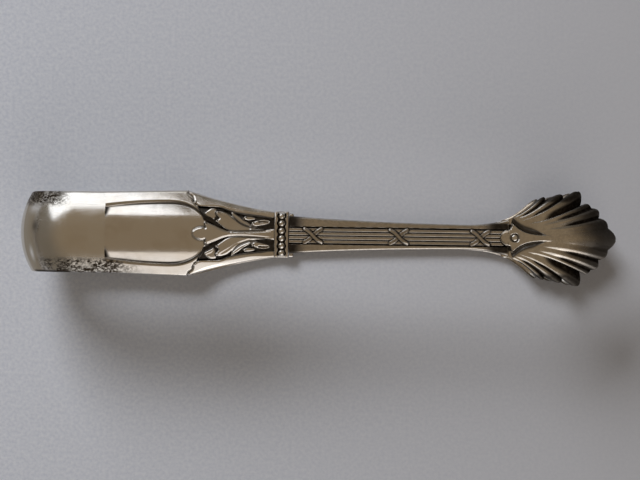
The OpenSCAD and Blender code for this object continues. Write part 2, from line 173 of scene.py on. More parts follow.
def close_shell(front, back, borders=(("side", -1.0), ("side", 1.0)), angle=45.0):
    """Joins a pressed face and its back, bridges the borders that are named and fills what stays open."""
    nothing_selected()
    back.select_set(True)
    front.select_set(True)
    bpy.context.view_layer.objects.active = front
    bpy.ops.object.join()
    for border, value in borders:
        select_border(front, border, value)
        bpy.ops.mesh.bridge_edge_loops()
        bpy.ops.object.mode_set(mode="OBJECT")
    finish_shell(front, angle)
    return front


def finish_shell(piece, angle=45.0):
    """Fills what is open, turns every face outwards and smooths the shading."""
    nothing_selected()
    piece.select_set(True)
    bpy.context.view_layer.objects.active = piece
    bpy.ops.object.mode_set(mode="EDIT")
    bpy.ops.mesh.select_mode(type="EDGE")
    bpy.ops.mesh.select_all(action="DESELECT")
    bpy.ops.mesh.select_non_manifold(extend=False, use_wire=False, use_boundary=True, use_multi_face=False,
                                     use_non_contiguous=False, use_verts=False)
    bpy.ops.mesh.fill_holes(sides=0)
    bpy.ops.mesh.select_all(action="SELECT")
    bpy.ops.mesh.normals_make_consistent(inside=False)
    bpy.ops.object.mode_set(mode="OBJECT")
    bpy.ops.object.shade_smooth_by_angle(angle=math.radians(angle))
    for border in BORDERS:
        mark = piece.data.attributes.get(border)
        if mark:
            piece.data.attributes.remove(mark)


def lower_copy(piece, name):
    """The same piece on the lower arm: a copy with its own mesh, mirrored in the tongs' middle plane."""
    nothing_selected()
    piece.select_set(True)
    bpy.context.view_layer.objects.active = piece
    bpy.ops.object.duplicate()
    copy = bpy.context.object
    copy.name = name
    bpy.ops.object.mode_set(mode="EDIT")
    bpy.ops.mesh.select_all(action="SELECT")
    bpy.ops.transform.resize(value=(1, 1, -1), center_override=(0, 0, SPAN * MM / 2))
    bpy.ops.mesh.flip_normals()
    nothing_selected()
    return copy


def report(piece):
    """Prints a piece's faces, its edges that don't join two faces, and its size."""
    edges = np.empty(len(piece.data.loops), np.int32)
    piece.data.loops.foreach_get("edge_index", edges)
    loose = int((np.bincount(edges, minlength=len(piece.data.edges)) != 2).sum())
    size = piece.dimensions / MM
    print(f"{piece.name}: {len(piece.data.polygons)} faces, {loose} open edges,"
          f" {size.x:.2f} x {size.y:.2f} x {size.z:.2f} mm")


print("helpers to close a shell ready")

# %% [markdown]
# ## Curves and distances
# Every outline on the tongs is a smooth curve through a few points, and every bead, groove and leaf edge follows from
# how far a point is from such a curve. A few short helpers do both, so a leaf can be drawn with a dozen points.

# %% Helpers for outlines
def bend2(a, b, c, count=40):
    """Points of a curve from a to c that leans towards b."""
    t = np.linspace(0.0, 1.0, count)[:, None]
    return (1 - t) ** 2 * np.array(a) + 2 * t * (1 - t) * np.array(b) + t ** 2 * np.array(c)


def bend3(a, b, c, d, count=60):
    """Points of a curve from a to d that leans towards b and then c."""
    t = np.linspace(0.0, 1.0, count)[:, None]
    return ((1 - t) ** 3 * np.array(a) + 3 * t * (1 - t) ** 2 * np.array(b)
            + 3 * t ** 2 * (1 - t) * np.array(c) + t ** 3 * np.array(d))


def smooth_loop(points, steps=6, closed=True):
    """Points of a smooth curve through all the given points."""
    points = np.array(points, float)
    if closed:
        before, after, after2 = np.roll(points, 1, 0), np.roll(points, -1, 0), np.roll(points, -2, 0)
    else:
        padded = np.concatenate([points[:1], points, points[-1:]])
        points, before, after, after2 = padded[1:-2], padded[:-3], padded[2:-1], padded[3:]
    curve = []
    for t in np.arange(steps) / steps:
        curve.append(0.5 * (2 * points + (after - before) * t + (2 * before - 5 * points + 4 * after - after2) * t ** 2
                            + (3 * points - before - 3 * after + after2) * t ** 3))
    curve = np.stack(curve, 1).reshape(-1, 2)
    return curve if closed else np.concatenate([curve, after[-1:]])


def line_distance(x, y, line):
    """How far each point is from a line of points."""
    nearest = np.full(x.shape, 1e9)
    for (ax, ay), (bx, by) in zip(line[:-1], line[1:]):
        dx, dy = bx - ax, by - ay
        share = np.clip(((x - ax) * dx + (y - ay) * dy) / max(dx * dx + dy * dy, 1e-12), 0.0, 1.0)
        nearest = np.minimum(nearest, (x - ax - share * dx) ** 2 + (y - ay - share * dy) ** 2)
    return np.sqrt(nearest)


def inside_distance(x, y, loop):
    """How far each point is inside a closed outline, and below 0 outside it."""
    closed = np.concatenate([loop, loop[:1]])
    inside = np.zeros(x.shape, bool)
    for (ax, ay), (bx, by) in zip(closed[:-1], closed[1:]):
        if ay != by:
            inside ^= ((ay > y) != (by > y)) & (x < (bx - ax) * (y - ay) / (by - ay) + ax)
    return np.where(inside, 1.0, -1.0) * line_distance(x, y, closed)


def blurred(values, steps):
    """A grid of values, each averaged with its neighbours a few steps away."""
    for axis, width in zip((0, 1), steps):
        pad = [(width, width) if k == axis else (0, 0) for k in (0, 1)]
        total = np.cumsum(np.pad(values, pad, mode="edge"), axis=axis)
        total = np.concatenate([np.zeros_like(np.take(total, [0], axis)), total], axis=axis)
        size = values.shape[axis]
        high = np.take(total, np.arange(2 * width + 1, 2 * width + 1 + size), axis)
        values = (high - np.take(total, np.arange(size), axis)) / (2 * width + 1)
    return values


def rounded_edge(distance, radius):
    """How far a face drops where a rounded edge of this radius begins."""
    into = np.clip(1.0 - distance / radius, 0.0, 1.0)
    return radius * (1.0 - np.sqrt(1.0 - into ** 2))


print("outline helpers ready")

# %% [markdown]
# ## The bow
# The bow is one strip of sheet silver, crowned across its width and bent round a mandrel, and its springiness opens
# the tongs. In Blender a curve with a bevel profile could make it, but the strip has to bend with the arms in every
# pose, so it is two halves that meet at the end of the bow.

# %% The bow's section and curve
SHEET, CROWN, BOW_HALF_WIDTH, LAP_THICKNESS = 1.2, 14.6, 7.75, 0.45
APEX = SEAM + 13.3
# From its highest place the face bends down towards the bow, and slopes towards the collar after a soft start
BOW_FALL, COLLAR_FALL, FALL_START = 0.001, 0.024, 1.5


def crown(across, radius=CROWN):
    """How far the crowned outer face drops, at a distance across the strip."""
    return np.sqrt(radius ** 2 - across ** 2) - radius


def sag(along):
    """How far the face falls away from its highest place along the arm, towards the bow and towards the collar."""
    past = np.clip(along - APEX, 0, None)
    to_bow = BOW_FALL * np.clip(APEX - along, 0, None) ** 2
    return to_bow + COLLAR_FALL * (np.sqrt(past ** 2 + FALL_START ** 2) - FALL_START)


def hollow(across):
    """The height of the strip's inner face."""
    return np.sqrt((CROWN - SHEET) ** 2 - across ** 2) - CROWN


def bow_place(path, across, height):
    """A place on the upper half of the bow, from mm along its curve."""
    straight = np.minimum(path, BOW_FLAT / 2)
    turn = np.minimum((path - straight) / BEND, math.pi / 2)
    leg = np.maximum(path - straight - BEND * math.pi / 2, 0.0)
    along = BEND - (BEND + height) * np.cos(turn) + leg
    rise = SPAN / 2 + straight + (BEND + height) * np.sin(turn)
    return np.stack([along * MM + cad_low.x, across * MM, rise * MM], axis=-1)


bow_path = BOW_FLAT / 2 + BEND * math.pi / 2 + SEAM - BEND
lap_path = bow_path + LAP_END - SEAM
print(f"half of the bow is {bow_path:.1f} mm along its curve, and its lap ends at {lap_path:.1f} mm")

# %% [markdown]
# ## Wear on the bow
# Hands hold the bow, so its middle is rubbed bright, while tarnish stays along the edges and on the bend. A painted
# image could carry these marks, but it would stretch round the bend. So each mark is a soft shape in mm along and
# across the strip, kept on the mesh's own points, where the finish below reads it.

# %% Where the bow is tarnished
def bow_tarnish(path, across):
    """Where old tarnish sits on the bow: along one edge and at one corner near the bend."""
    edge = ease(-4.6, -5.5, across) * ease(8.0, 14.0, path) * ease(33.0, 26.0, path)
    corner = ease(4.4, 5.8, across) * ease(19.0, 14.0, path) * ease(2.0, 6.0, path)
    return np.maximum(edge, corner)


def spot(path, across, centre, size):
    """A soft spot on the bow: 1 in its middle and 0 outside."""
    return np.exp(-((path - centre[0]) / size[0]) ** 2 - ((across - centre[1]) / size[1]) ** 2)


def bow_dirt_and_shade(path, across):
    """The black on the bow: a smudge and one corner of dirt, and a line of painted shade along one edge."""
    corner = 0.55 * ease(4.8, 7.0, across) * ease(13.0, 8.0, path)
    # Painted shade: a black line along the lower edge, under the rolled edge
    line = 0.95 * ease(-7.32, -7.46, across) * ease(6.0, 8.0, path) * ease(20.0, 17.0, path)
    smudge = 0.6 * spot(path, across, (10.4, 1.0), (0.9, 1.1))
    return np.maximum(np.maximum(corner, line), smudge)


def bow_film(path, across):
    """The smooth brown film on the bend, with two places that are rubbed clean."""
    film = 0.55 * ease(6.4, 5.6, path) + 0.95 * ease(5.6, 6.4, path) * ease(12.2, 9.4, path)
    rubbed = spot(path, across, (8.6, -4.2), (0.6, 1.2)) + 0.8 * spot(path, across, (9.4, 4.6), (1.6, 1.0))
    return np.clip(film - rubbed, 0.0, 1.0)


print("tarnish, dirt and film of the bow ready")

# %% [markdown]
# ## Pressing the bow
# The face gets its crown, its rounded edges, the gentle fall along the arm and one faint ridge across the bend. Past
# the seam the strip steps down to a thin tongue, which the shoulder covers. Two rows close together keep that step
# crisp, where a bevel would round it.

# %% Make the bow's two halves
SEAM_GAP, EDGE = 0.002, 0.3
RIDGE_PATH, RIDGE_HEIGHT, RIDGE_HALF = 6.2, 0.05, 0.22


def edge_shares(count, power):
    """Shares from -1 to 1 across a strip, closer together towards its edges."""
    share = np.linspace(-1, 1, count)
    return np.sign(share) * (1 - (1 - np.abs(share)) ** power)


def make_bow_half():
    """The upper half of the bow, from the end of the bend to the lap under the shoulder."""
    path = np.concatenate([np.linspace(0, bow_path - SEAM_GAP, 150), [bow_path - SEAM_GAP + 0.001],
                           np.linspace(bow_path + 0.05, lap_path, 8)])
    path, share = np.meshgrid(path, edge_shares(73, 1.25), indexing="ij")
    across = share * BOW_HALF_WIDTH
    leg = np.maximum(SEAM + path - bow_path, BEND)
    height = crown(across) - rounded_edge(BOW_HALF_WIDTH - np.abs(across), EDGE) - sag(leg) * ease(3.0, 18.0, path)
    ridge = np.exp(-((path - RIDGE_PATH) / RIDGE_HALF) ** 2) * ease(6.2, 4.5, np.abs(across))
    height = height + RIDGE_HEIGHT * ridge
    under = hollow(across) + LAP_THICKNESS
    front_height = np.where(path > bow_path - SEAM_GAP, under, height)
    front = pressed_grid("bow_upper_half", bow_place(path, across, front_height),
                         tarnish=bow_tarnish(path, across), patina=bow_dirt_and_shade(path, across),
                         film=bow_film(path, across))
    back_height = hollow(across) + rounded_edge(BOW_HALF_WIDTH - np.abs(across), 0.2)
    back = pressed_grid("bow_back", bow_place(path, across, back_height), layer=1.0,
                        tarnish=0.5 * bow_tarnish(path, across), patina=np.zeros(path.shape))
    return close_shell(front, back)


bow_upper = make_bow_half()
bow_lower = lower_copy(bow_upper, "bow_lower_half")
report(bow_upper)
report(bow_lower)

# %% [markdown]
# ## The shoulder plate
# The shoulder carries the ornament: a sunk panel with a pointed end, a border round it, and a spray of acanthus
# leaves that grows from the collar towards the panel. Each leaf is a small hill with a rounded edge, higher leaves
# cover lower ones, and the ground between them lies deepest, where black tarnish stays when the silver is polished.

# %% The shoulder's outline and panel
CORNER = SEAM + 15.6
SHOULDER_HALF, NECK_HALF = 8.15, 4.3
PANEL_LENGTH, PANEL_HALF, PANEL_BELLY, PANEL_RADIUS = 20.6, 4.75, 5.75, 10.4
PANEL_DROP, LEDGE_WIDTH, LEDGE_DEPTH = 0.06, 0.45, 0.14
BEVEL = 0.75
taper_lean = (CORNER + 0.48 * (NECK - CORNER), NECK_HALF + 1.232)
taper = bend2((CORNER, SHOULDER_HALF), taper_lean, (NECK, NECK_HALF))
shoulder_edge = np.concatenate([[(SEAM, BOW_HALF_WIDTH)], taper])
panel_side = bend2((SEAM - 0.5, PANEL_HALF), (SEAM + 0.3 * PANEL_LENGTH, PANEL_BELLY),
                   (SEAM + 0.59 * PANEL_LENGTH, PANEL_BELLY))
panel_end = bend3((SEAM + 0.59 * PANEL_LENGTH, PANEL_BELLY), (SEAM + 0.8 * PANEL_LENGTH, PANEL_BELLY),
                  (SEAM + 0.92 * PANEL_LENGTH, 0.62 * PANEL_BELLY), (SEAM + PANEL_LENGTH, 0))
panel_half_line = np.concatenate([panel_side, panel_end[1:]])
panel_loop = np.concatenate([panel_half_line, panel_half_line[::-1][1:] * (1, -1)])
print(f"shoulder from {SEAM:.2f} to {NECK:.2f} mm, panel to {SEAM + PANEL_LENGTH:.2f} mm")

# %% [markdown]
# ## The leaves of the spray
# Each leaf is drawn as a smooth loop through a dozen points, in mm back from the collar and out from the middle, as an
# engraver would lay it out on the plate. Tracing them with a pen tool would do too, but points can be corrected one by
# one. One side is enough, because the spray is the same on both, and where two leaves overlap, the higher one shows.

# %% Draw the leaves
middle_leaf = [(15.5, 0.0), (15.25, 0.66), (14.5, 1.12), (13.6, 1.26), (13.0, 1.12), (13.1, 1.7), (12.75, 2.05),
               (12.2, 1.95), (11.5, 1.68), (10.6, 1.28), (9.8, 0.92), (8.8, 0.62), (7.6, 0.48), (5.8, 0.5),
               (3.8, 0.62), (1.7, 0.82), (-0.4, 1.0)]
middle_leaf += [(b, -y) for b, y in middle_leaf[:0:-1]]
side_leaf = [(11.05, 3.86), (10.7, 4.36), (9.9, 4.34), (8.8, 3.95), (7.9, 3.22), (6.7, 2.18), (5.4, 1.55), (3.8, 1.15),
             (1.7, 1.0), (1.7, 0.3), (5.2, 0.2), (7.7, 0.3), (9.1, 0.85), (9.9, 1.4), (10.5, 1.85), (11.1, 2.22),
             (11.05, 2.55), (10.7, 2.78), (10.5, 2.98), (10.75, 3.32)]
sickle_leaf = [(8.2, 4.18), (7.6, 4.02), (6.9, 3.55), (5.9, 2.82), (4.4, 1.86), (2.9, 1.3), (5.2, 1.0), (7.1, 2.0),
               (7.9, 3.1)]
bud_leaf = [(6.0, 3.05), (5.6, 3.42), (5.0, 3.5), (3.8, 3.25), (3.5, 2.8), (4.6, 2.55), (5.6, 2.65)]
husk = [(4.35, 2.0), (3.95, 2.38), (3.1, 2.68), (1.75, 2.8), (0.9, 2.6), (0.75, 2.22), (1.3, 1.9), (2.4, 1.62),
        (3.55, 1.46), (4.2, 1.7)]
back_leaf = [(13.3, 3.83), (12.9, 4.32), (12.1, 4.87), (11.1, 4.8), (10.8, 4.35), (10.9, 3.6), (11.4, 2.7),
             (12.1, 2.98), (12.9, 3.42)]
border_leaf = [(16.3, 7.65), (15.5, 6.9), (15.3, 6.25), (15.0, 5.75), (14.1, 5.14), (12.1, 5.05), (10.2, 4.98),
               (8.8, 4.46), (7.0, 3.98), (5.0, 3.7), (2.5, 3.4), (0.0, 3.2), (0.0, 5.2), (6.0, 5.8), (9.5, 7.0),
               (13.5, 8.2), (16.0, 8.6)]
ground = [(14.5, 5.2), (12.1, 5.0), (10.2, 4.94), (8.4, 4.26), (5.8, 3.62), (3.7, 3.4), (0.8, 3.1), (-0.3, 3.0),
          (-0.3, -1.5), (10.7, -1.5), (11.8, 1.4), (12.5, 2.2), (13.3, 2.6), (13.7, 3.6)]
# Each leaf: outline, height of its edge and of its top over the crown, width of its rounding, lift of its tip,
# and depth and width of the hollow round it
LEAVES = [
    (border_leaf, -0.20, 0.04, 0.40, 0.16, 0.26, 0.40),
    (back_leaf, -0.50, -0.22, 0.42, 0.10, 0.0, 1.0),
    (sickle_leaf, -0.50, -0.18, 0.32, 0.06, 0.0, 1.0),
    (husk, -0.50, -0.18, 0.38, 0.10, 0.0, 1.0),
    (bud_leaf, -0.50, -0.16, 0.38, 0.14, 0.0, 1.0),
    (side_leaf, -0.50, -0.08, 0.55, 0.14, 0.0, 1.0),
    (middle_leaf, -0.42, -0.04, 0.55, 0.0, 0.30, 1.5),
]
# Veins and slots: a line of points, how deep and how wide
VEINS = [
    ([(10.2, 3.9), (8.6, 2.9), (6.8, 1.75), (4.6, 0.95)], 0.06, 0.20),
    ([(10.7, 2.4), (9.2, 1.7), (7.6, 1.1), (5.6, 0.75)], 0.05, 0.18),
    ([(12.6, 1.75), (11.2, 1.2), (9.6, 0.62), (8.2, 0.34)], 0.06, 0.18),
    ([(14.2, 0.0), (12.0, 0.0), (9.0, 0.0)], 0.03, 0.16),
    ([(2.7, 2.36), (1.9, 2.42), (1.15, 2.36)], 0.34, 0.17),
    ([(8.1, 3.7), (7.2, 2.85), (6.0, 2.05), (4.6, 1.5)], 0.16, 0.15),
    ([(12.6, 4.0), (11.9, 3.75), (11.4, 3.3)], 0.06, 0.16),
    ([(7.8, 0.34), (5.6, 0.26), (3.2, 0.4), (0.6, 0.6)], 0.06, 0.14),
]
# Small raised pearls at the turned-up tips: place, radius, height over the crown
PEARLS = [((12.95, 1.92), 0.26, 0.04), ((10.85, 2.42), 0.26, 0.06), ((10.78, 4.02), 0.34, 0.10),
          ((15.05, 5.95), 0.24, 0.22), ((5.45, 3.12), 0.3, 0.06), ((4.0, 2.08), 0.28, 0.06)]


def leaf_height(back, out, leaf):
    """The height of one leaf over the crown, and how far each point is inside it."""
    outline, edge, top, rounding, lift = leaf[:5]
    loop = smooth_loop(outline)
    into = inside_distance(back, out, loop)
    swell = np.clip(into / rounding, 0.0, 1.0)
    height = edge + (top - edge) * np.sqrt(1.0 - (1.0 - swell) ** 2)
    tip = np.array(outline[0])
    height = height + lift * np.exp(-((back - tip[0]) ** 2 + (out - tip[1]) ** 2) / 0.9 ** 2) * swell
    return height, into


print(len(LEAVES), "leaves on each side of the spray")

# %% [markdown]
# ## Pressing the shoulder
# The face starts as the crown. The ledge and the panel are sunk into it, then the ground under the spray, and the
# leaves, veins and pearls rise out of that. What lies lower than all round it is a hollow, and hollows hold the black.

# %% Press the shoulder's face
BURIED = -9.0  # lower than any face, so that whatever is there already shows


def shoulder_relief(along, across, half_width):
    """The height of the shoulder's face and how black it is: dirt in the hollows, and painted shade at the panel's
    step and along its ledge.
    """
    out = np.abs(across)
    back = NECK - along
    face = crown(across) - sag(along)
    into_panel = inside_distance(along, across, panel_loop)
    field = crown(across, PANEL_RADIUS) - sag(along) - PANEL_DROP * ease(0.0, 4.0, along - SEAM)
    height = face - LEDGE_DEPTH * ease(-LEDGE_WIDTH - 0.13, -LEDGE_WIDTH + 0.13, into_panel)
    height = height + (field - height) * ease(-0.16, 0.10, into_panel)
    into_ground = inside_distance(back, out, smooth_loop(ground))
    sunk = ease(-0.05, 0.15, into_ground)
    height = height + (face - 0.55 - height) * sunk
    dirt_and_shade = 0.95 * ease(0.0, 0.25, into_ground)
    # Painted shade with dirt in it: a dark wedge where the panel steps down from the face
    step = (face - field) * ease(-0.1, 0.2, into_panel)
    dirt_and_shade = np.maximum(dirt_and_shade, ease(3.4 * step, 1.4 * step - 0.05, along - SEAM) * ease(0.08, 0.2, step))
    # Painted shade along the panel's ledge, darker towards the collar
    on_ledge = ease(-LEDGE_WIDTH - 0.08, -LEDGE_WIDTH + 0.1, into_panel) * ease(0.10, -0.05, into_panel)
    dirt_and_shade = np.maximum(dirt_and_shade, (0.30 + 0.60 * ease(SEAM + 9.0, SEAM + 16.0, along)) * on_ledge)
    for leaf in LEAVES:
        over, into = leaf_height(back, out, leaf)
        dirt_and_shade = np.maximum(dirt_and_shade, 0.85 * ease(-0.34, -0.12, into) * ease(16.0, 13.0, back))
        height = height - leaf[5] * ease(-leaf[6], 0.0, into) * ease(9.0, 12.0, back)
        over = np.where(into > 0.0, face + over, BURIED)
        dirt_and_shade = np.where(over > height, 0.0, dirt_and_shade)
        height = np.maximum(height, over)
    for line, deep, wide in VEINS:
        away = line_distance(back, out, smooth_loop(line, closed=False))
        height = height - deep * np.exp(-(away / wide) ** 2)
    for (pearl_back, pearl_out), radius, top in PEARLS:
        away = np.hypot(back - pearl_back, out - pearl_out) / radius
        dome = face + top - radius + radius * np.sqrt(np.clip(1.0 - away ** 2, 0.0, 1.0))
        height = np.maximum(height, np.where(away < 1.0, dome, BURIED))
    taper_share = ease(0.0, 4.0, along - CORNER) * ease(0.0, 5.0, NECK - along)
    bevel = 0.25 + (BEVEL - 0.25) * taper_share
    height = height - 0.28 * np.clip(bevel - (half_width - out), 0.0, bevel) - rounded_edge(half_width - out, 0.2)
    return height, dirt_and_shade


def make_shoulder():
    """The upper shoulder plate."""
    spray = CORNER - 0.6
    along = np.concatenate([np.linspace(SEAM + SEAM_GAP, spray, 100)[:-1], np.linspace(spray, NECK, 262)])
    along, share = np.meshgrid(along, edge_shares(217, 1.12), indexing="ij")
    half_width = np.interp(along, shoulder_edge[:, 0], shoulder_edge[:, 1])
    across = share * half_width
    height, dirt_and_shade = shoulder_relief(along, across, half_width)
    height[1:-1, 1:-1] = blurred(height, (1, 1))[1:-1, 1:-1]
    hollowness = ease(0.015, 0.16, blurred(height, (6, 6)) - height)
    dirt_and_shade = np.clip(np.maximum(blurred(dirt_and_shade, (1, 1)), hollowness), 0.0, 1.0)
    tarnish = bow_tarnish(bow_path + along - SEAM, across)
    front = pressed_grid("upper_shoulder_plate", arm_place(along, across, height), patina=dirt_and_shade, tarnish=tarnish)
    # The back is plain, so every eighth line is enough
    along, across, half_width = (values[:, ::8] for values in (along, across, half_width))
    flat = ease(CORNER - 4.0, NECK - 6.0, along)
    under = hollow(across) * (1 - flat) - 1.9 * flat
    under = np.where(along < LAP_END + 0.05, hollow(across) + LAP_THICKNESS + 0.03, under)
    under = under + rounded_edge(half_width - np.abs(across), 0.15)
    still = np.zeros(under.shape)
    back = pressed_grid("shoulder_back", arm_place(along, across, under), layer=1.0,
                        patina=still, tarnish=still + 0.25)
    return close_shell(front, back)


upper_shoulder = make_shoulder()
lower_shoulder = lower_copy(upper_shoulder, "lower_shoulder_plate")
report(upper_shoulder)

# %% [markdown]
# ## The collar and its beads
# A collar hides the joint between the shoulder and the stem: two narrow rims with a channel between them, and in the
# channel a length of bead wire. A lathe profile can't make it, because the collar is flat behind and crowned in front.
# So its outline is swept along the arm as a tube, and the channel is pressed into it only where the beads sit.

# %% Make the collar
COLLAR_HALF, COLLAR_DEPTH, CHANNEL = 4.4, 2.3, 0.62
BEAD_COUNT, BEAD_PITCH, BEAD_RADIUS, BEAD_HALF = 6, 1.4, 0.62, 0.67
CHANNEL_FLOOR = CROWN - CHANNEL
CHANNEL_HALF, SCALLOP, CHANNEL_SINK, RIM_ROUND = 0.80, 0.11, 0.60, 0.30
collar_middle = sum(COLLAR) / 2


def collar_outline(count=240):
    """The collar's outline across the arm: its points and the way outwards at each."""
    corner, base = 0.35, 0.45
    top = np.linspace(-COLLAR_HALF + corner, COLLAR_HALF - corner, 60)
    right_top = crown(COLLAR_HALF - corner)
    turn = np.linspace(0, math.pi / 2, 10)[1:-1]
    right = np.concatenate([
        np.stack([COLLAR_HALF - corner + corner * np.sin(turn), right_top - corner + corner * np.cos(turn)], 1),
        np.stack([np.full(12, COLLAR_HALF), np.linspace(right_top - corner, -COLLAR_DEPTH + base, 12)], 1),
        np.stack([COLLAR_HALF - base + base * np.cos(turn), -COLLAR_DEPTH + base - base * np.sin(turn)], 1)])
    bottom = np.stack([np.linspace(COLLAR_HALF - base, -COLLAR_HALF + base, 20), np.full(20, -COLLAR_DEPTH)], 1)
    loop = np.concatenate([np.stack([top, crown(top)], 1), right, bottom, right[::-1] * (-1, 1)])
    loop = np.concatenate([loop, loop[:1]])
    length = np.concatenate([[0], np.cumsum(np.hypot(*np.diff(loop, axis=0).T))])
    even = np.linspace(0, length[-1], count + 1)
    points = np.stack([np.interp(even, length, loop[:, 0]), np.interp(even, length, loop[:, 1])], 1)
    ahead = np.roll(points[:-1], -1, 0) - np.roll(points[:-1], 1, 0)
    ahead = np.concatenate([ahead, ahead[:1]])
    outward = np.stack([-ahead[:, 1], ahead[:, 0]], 1) / np.hypot(*ahead.T)[:, None]
    return points, outward


def wrapped_tube(name, places, **marks):
    """A grid that is wrapped into a tube, with its meeting edges merged and its two ends filled."""
    tube = pressed_grid(name, places, **marks)
    bpy.ops.object.mode_set(mode="EDIT")
    bpy.ops.mesh.select_all(action="SELECT")
    bpy.ops.mesh.remove_doubles(threshold=1e-7)
    finish_shell(tube)
    return tube


def make_collar():
    """The upper collar: two rims with a scalloped channel for the beads between them."""
    points, outward = collar_outline()
    along = np.linspace(*COLLAR, 73)
    from_middle = np.abs(along - collar_middle)[:, None]
    arc = np.arctan2(points[:, 0], points[:, 1] + CROWN) * CHANNEL_FLOOR
    wave = np.cos(2 * math.pi * (arc / BEAD_PITCH + 0.5 * (BEAD_COUNT % 2 == 0)))
    channel_half = CHANNEL_HALF + SCALLOP * wave * (np.abs(arc) < BEAD_COUNT * BEAD_PITCH / 2)
    front = ease(-1.9, -1.3, points[:, 1])
    sunk = ease(-0.05, 0.09, channel_half[None, :] - from_middle) * front[None, :]
    half = (COLLAR[1] - COLLAR[0]) / 2
    inset = CHANNEL_SINK * sunk + rounded_edge(half - from_middle, RIM_ROUND)
    across = points[None, :, 0] - inset * outward[None, :, 0]
    height = points[None, :, 1] - inset * outward[None, :, 1]
    along = np.broadcast_to(along[:, None], across.shape)
    # Black in the channel round the beads, which is tarnish and painted shade of the beads, and a dark line at both
    # ends of the collar
    dirt_and_shade = np.clip(sunk + ease(0.05, 0.0, half - from_middle) * 0.6, 0, 1)
    return wrapped_tube("upper_collar_ring", arm_place(along, across, height), patina=dirt_and_shade,
                        tarnish=np.full(dirt_and_shade.shape, 0.15))


upper_collar = make_collar()
lower_collar = lower_copy(upper_collar, "lower_collar_ring")
report(upper_collar)

# %% [markdown]
# ## The bead wire
# Bead wire is rolled between grooved wheels, so that it swells into a row of balls with thin necks between them. Six
# spheres would look alike from far off, but they would be six loose pieces. So a tube is bent round the crown, and its
# radius swells and narrows along it.

# %% Make the bead wire
def make_beads():
    """The row of beads on the upper collar: a wire that swells into round beads."""
    reach = (BEAD_COUNT - 1) / 2 * BEAD_PITCH + BEAD_HALF * 0.995
    arc = np.linspace(-reach, reach, 181)
    centres = (np.arange(BEAD_COUNT) - (BEAD_COUNT - 1) / 2) * BEAD_PITCH
    away = np.abs(arc[:, None] - centres[None, :]).min(axis=1)
    ball = BEAD_RADIUS * np.sqrt(np.clip(1 - (away / BEAD_HALF) ** 2, 0, None))
    neck = np.where(np.abs(arc) < centres[-1], 0.26, 0.05)
    radius = np.maximum(ball, neck)[:, None]
    turn = np.linspace(0, 2 * math.pi, 33)[None, :]
    lift = CHANNEL_FLOOR + radius * np.cos(turn)
    angle = (arc / CHANNEL_FLOOR)[:, None]
    places = arm_place(collar_middle + 1.1 * radius * np.sin(turn), lift * np.sin(angle), lift * np.cos(angle) - CROWN)
    # Painted shade on the lower half of each bead, and black in the thin necks between beads, which is tarnish and
    # painted shade
    dirt_and_shade = ease(0.10, -0.05, radius * np.cos(turn)) * 0.9
    dirt_and_shade = np.maximum(dirt_and_shade, ease(0.34, 0.27, radius) * np.ones(turn.shape))
    return wrapped_tube("upper_bead_row", places, patina=dirt_and_shade, tarnish=np.zeros(dirt_and_shade.shape))


upper_beads = make_beads()
lower_beads = lower_copy(upper_beads, "lower_bead_row")
report(upper_beads)

# %% [markdown]
# ## The reeded stem
# Four thin reeds run along the stem, bound by three crossed ribbons, with a plain sloping margin on each side.
# The reeds are round in section and the ribbons lie over them, so both come from one pressed face: at each point the
# highest of the two wins, and the ribbon that passes under dips beneath the other.

# %% The stem's outline and its ribbons
STEM_START = COLLAR[1] + 0.05
CLAW_BASE = CLAW_START + 1.5
STEM_DEPTH, STEM_HALF, WAIST_HALF, STEM_END_HALF = 1.9, 3.55, 2.35, 3.5
WAIST = CLAW_BASE - 9.5
REED_COUNT, REED_PITCH, REED_DROP, REED_SHIFT = 4, 0.76, 0.35, 0.12
REED_BAND = REED_COUNT * REED_PITCH / 2
MARGIN_DROP, MARGIN_SLOPE = 0.45, 0.15
CROSSINGS = COLLAR[1] + np.array([4.55, 20.75, 36.1])
RIBBON_REACH, RIBBON_RISE, RIBBON_TURN, RIBBON_HALF = 1.95, 1.28, 2.0, 0.38
stem_edge = np.concatenate([
    bend2((STEM_START, STEM_HALF), (STEM_START + 0.44 * (WAIST - STEM_START), 1.1 * WAIST_HALF),
          (WAIST, WAIST_HALF)),
    bend2((WAIST, WAIST_HALF), (WAIST + 5.9, 0.93 * WAIST_HALF), (CLAW_BASE, STEM_END_HALF))[1:]])


def ribbon(dx, across, lean, top, rounding, dive):
    """The height of one ribbon of a crossing, and how far each point is inside it."""
    line = lean * RIBBON_RISE * np.sin(math.pi / 2 * np.clip(dx / RIBBON_TURN, -1, 1))
    slope = np.where(np.abs(dx) < RIBBON_TURN, RIBBON_RISE * math.pi / 2 / RIBBON_TURN
                     * np.cos(math.pi / 2 * np.clip(dx / RIBBON_TURN, -1, 1)), 0.0)
    away = np.abs(across - line) / np.sqrt(1 + slope ** 2)
    ends = np.clip(np.abs(dx) - RIBBON_REACH + RIBBON_HALF, 0, None)
    away = np.hypot(away, ends)
    height = top - rounding * np.clip(away / RIBBON_HALF, 0, 1.2) ** 3 - dive * ease(0.9, 1.5, np.abs(across))
    return np.where(away < RIBBON_HALF, height, BURIED), RIBBON_HALF - away


print(f"stem from {STEM_START:.2f} to {CLAW_BASE:.2f} mm with {len(CROSSINGS)} crossings and {REED_COUNT} reeds")

# %% [markdown]
# ## Pressing the stem
# Dark grooves run between the reeds, and a fine line along the edges of the upper ribbon parts it from the one
# beneath. At its end the stem steps down to a short tail, which goes under the claw's pad and takes the rivet.

# %% Press the stem
TAIL_LENGTH, TAIL_HALF, TAIL_ROUND, TAIL_TOP = 2.35, 1.1, 1.3, -1.3
SEAT_RADIUS, SEAT_HEIGHT = 1.6, -1.25


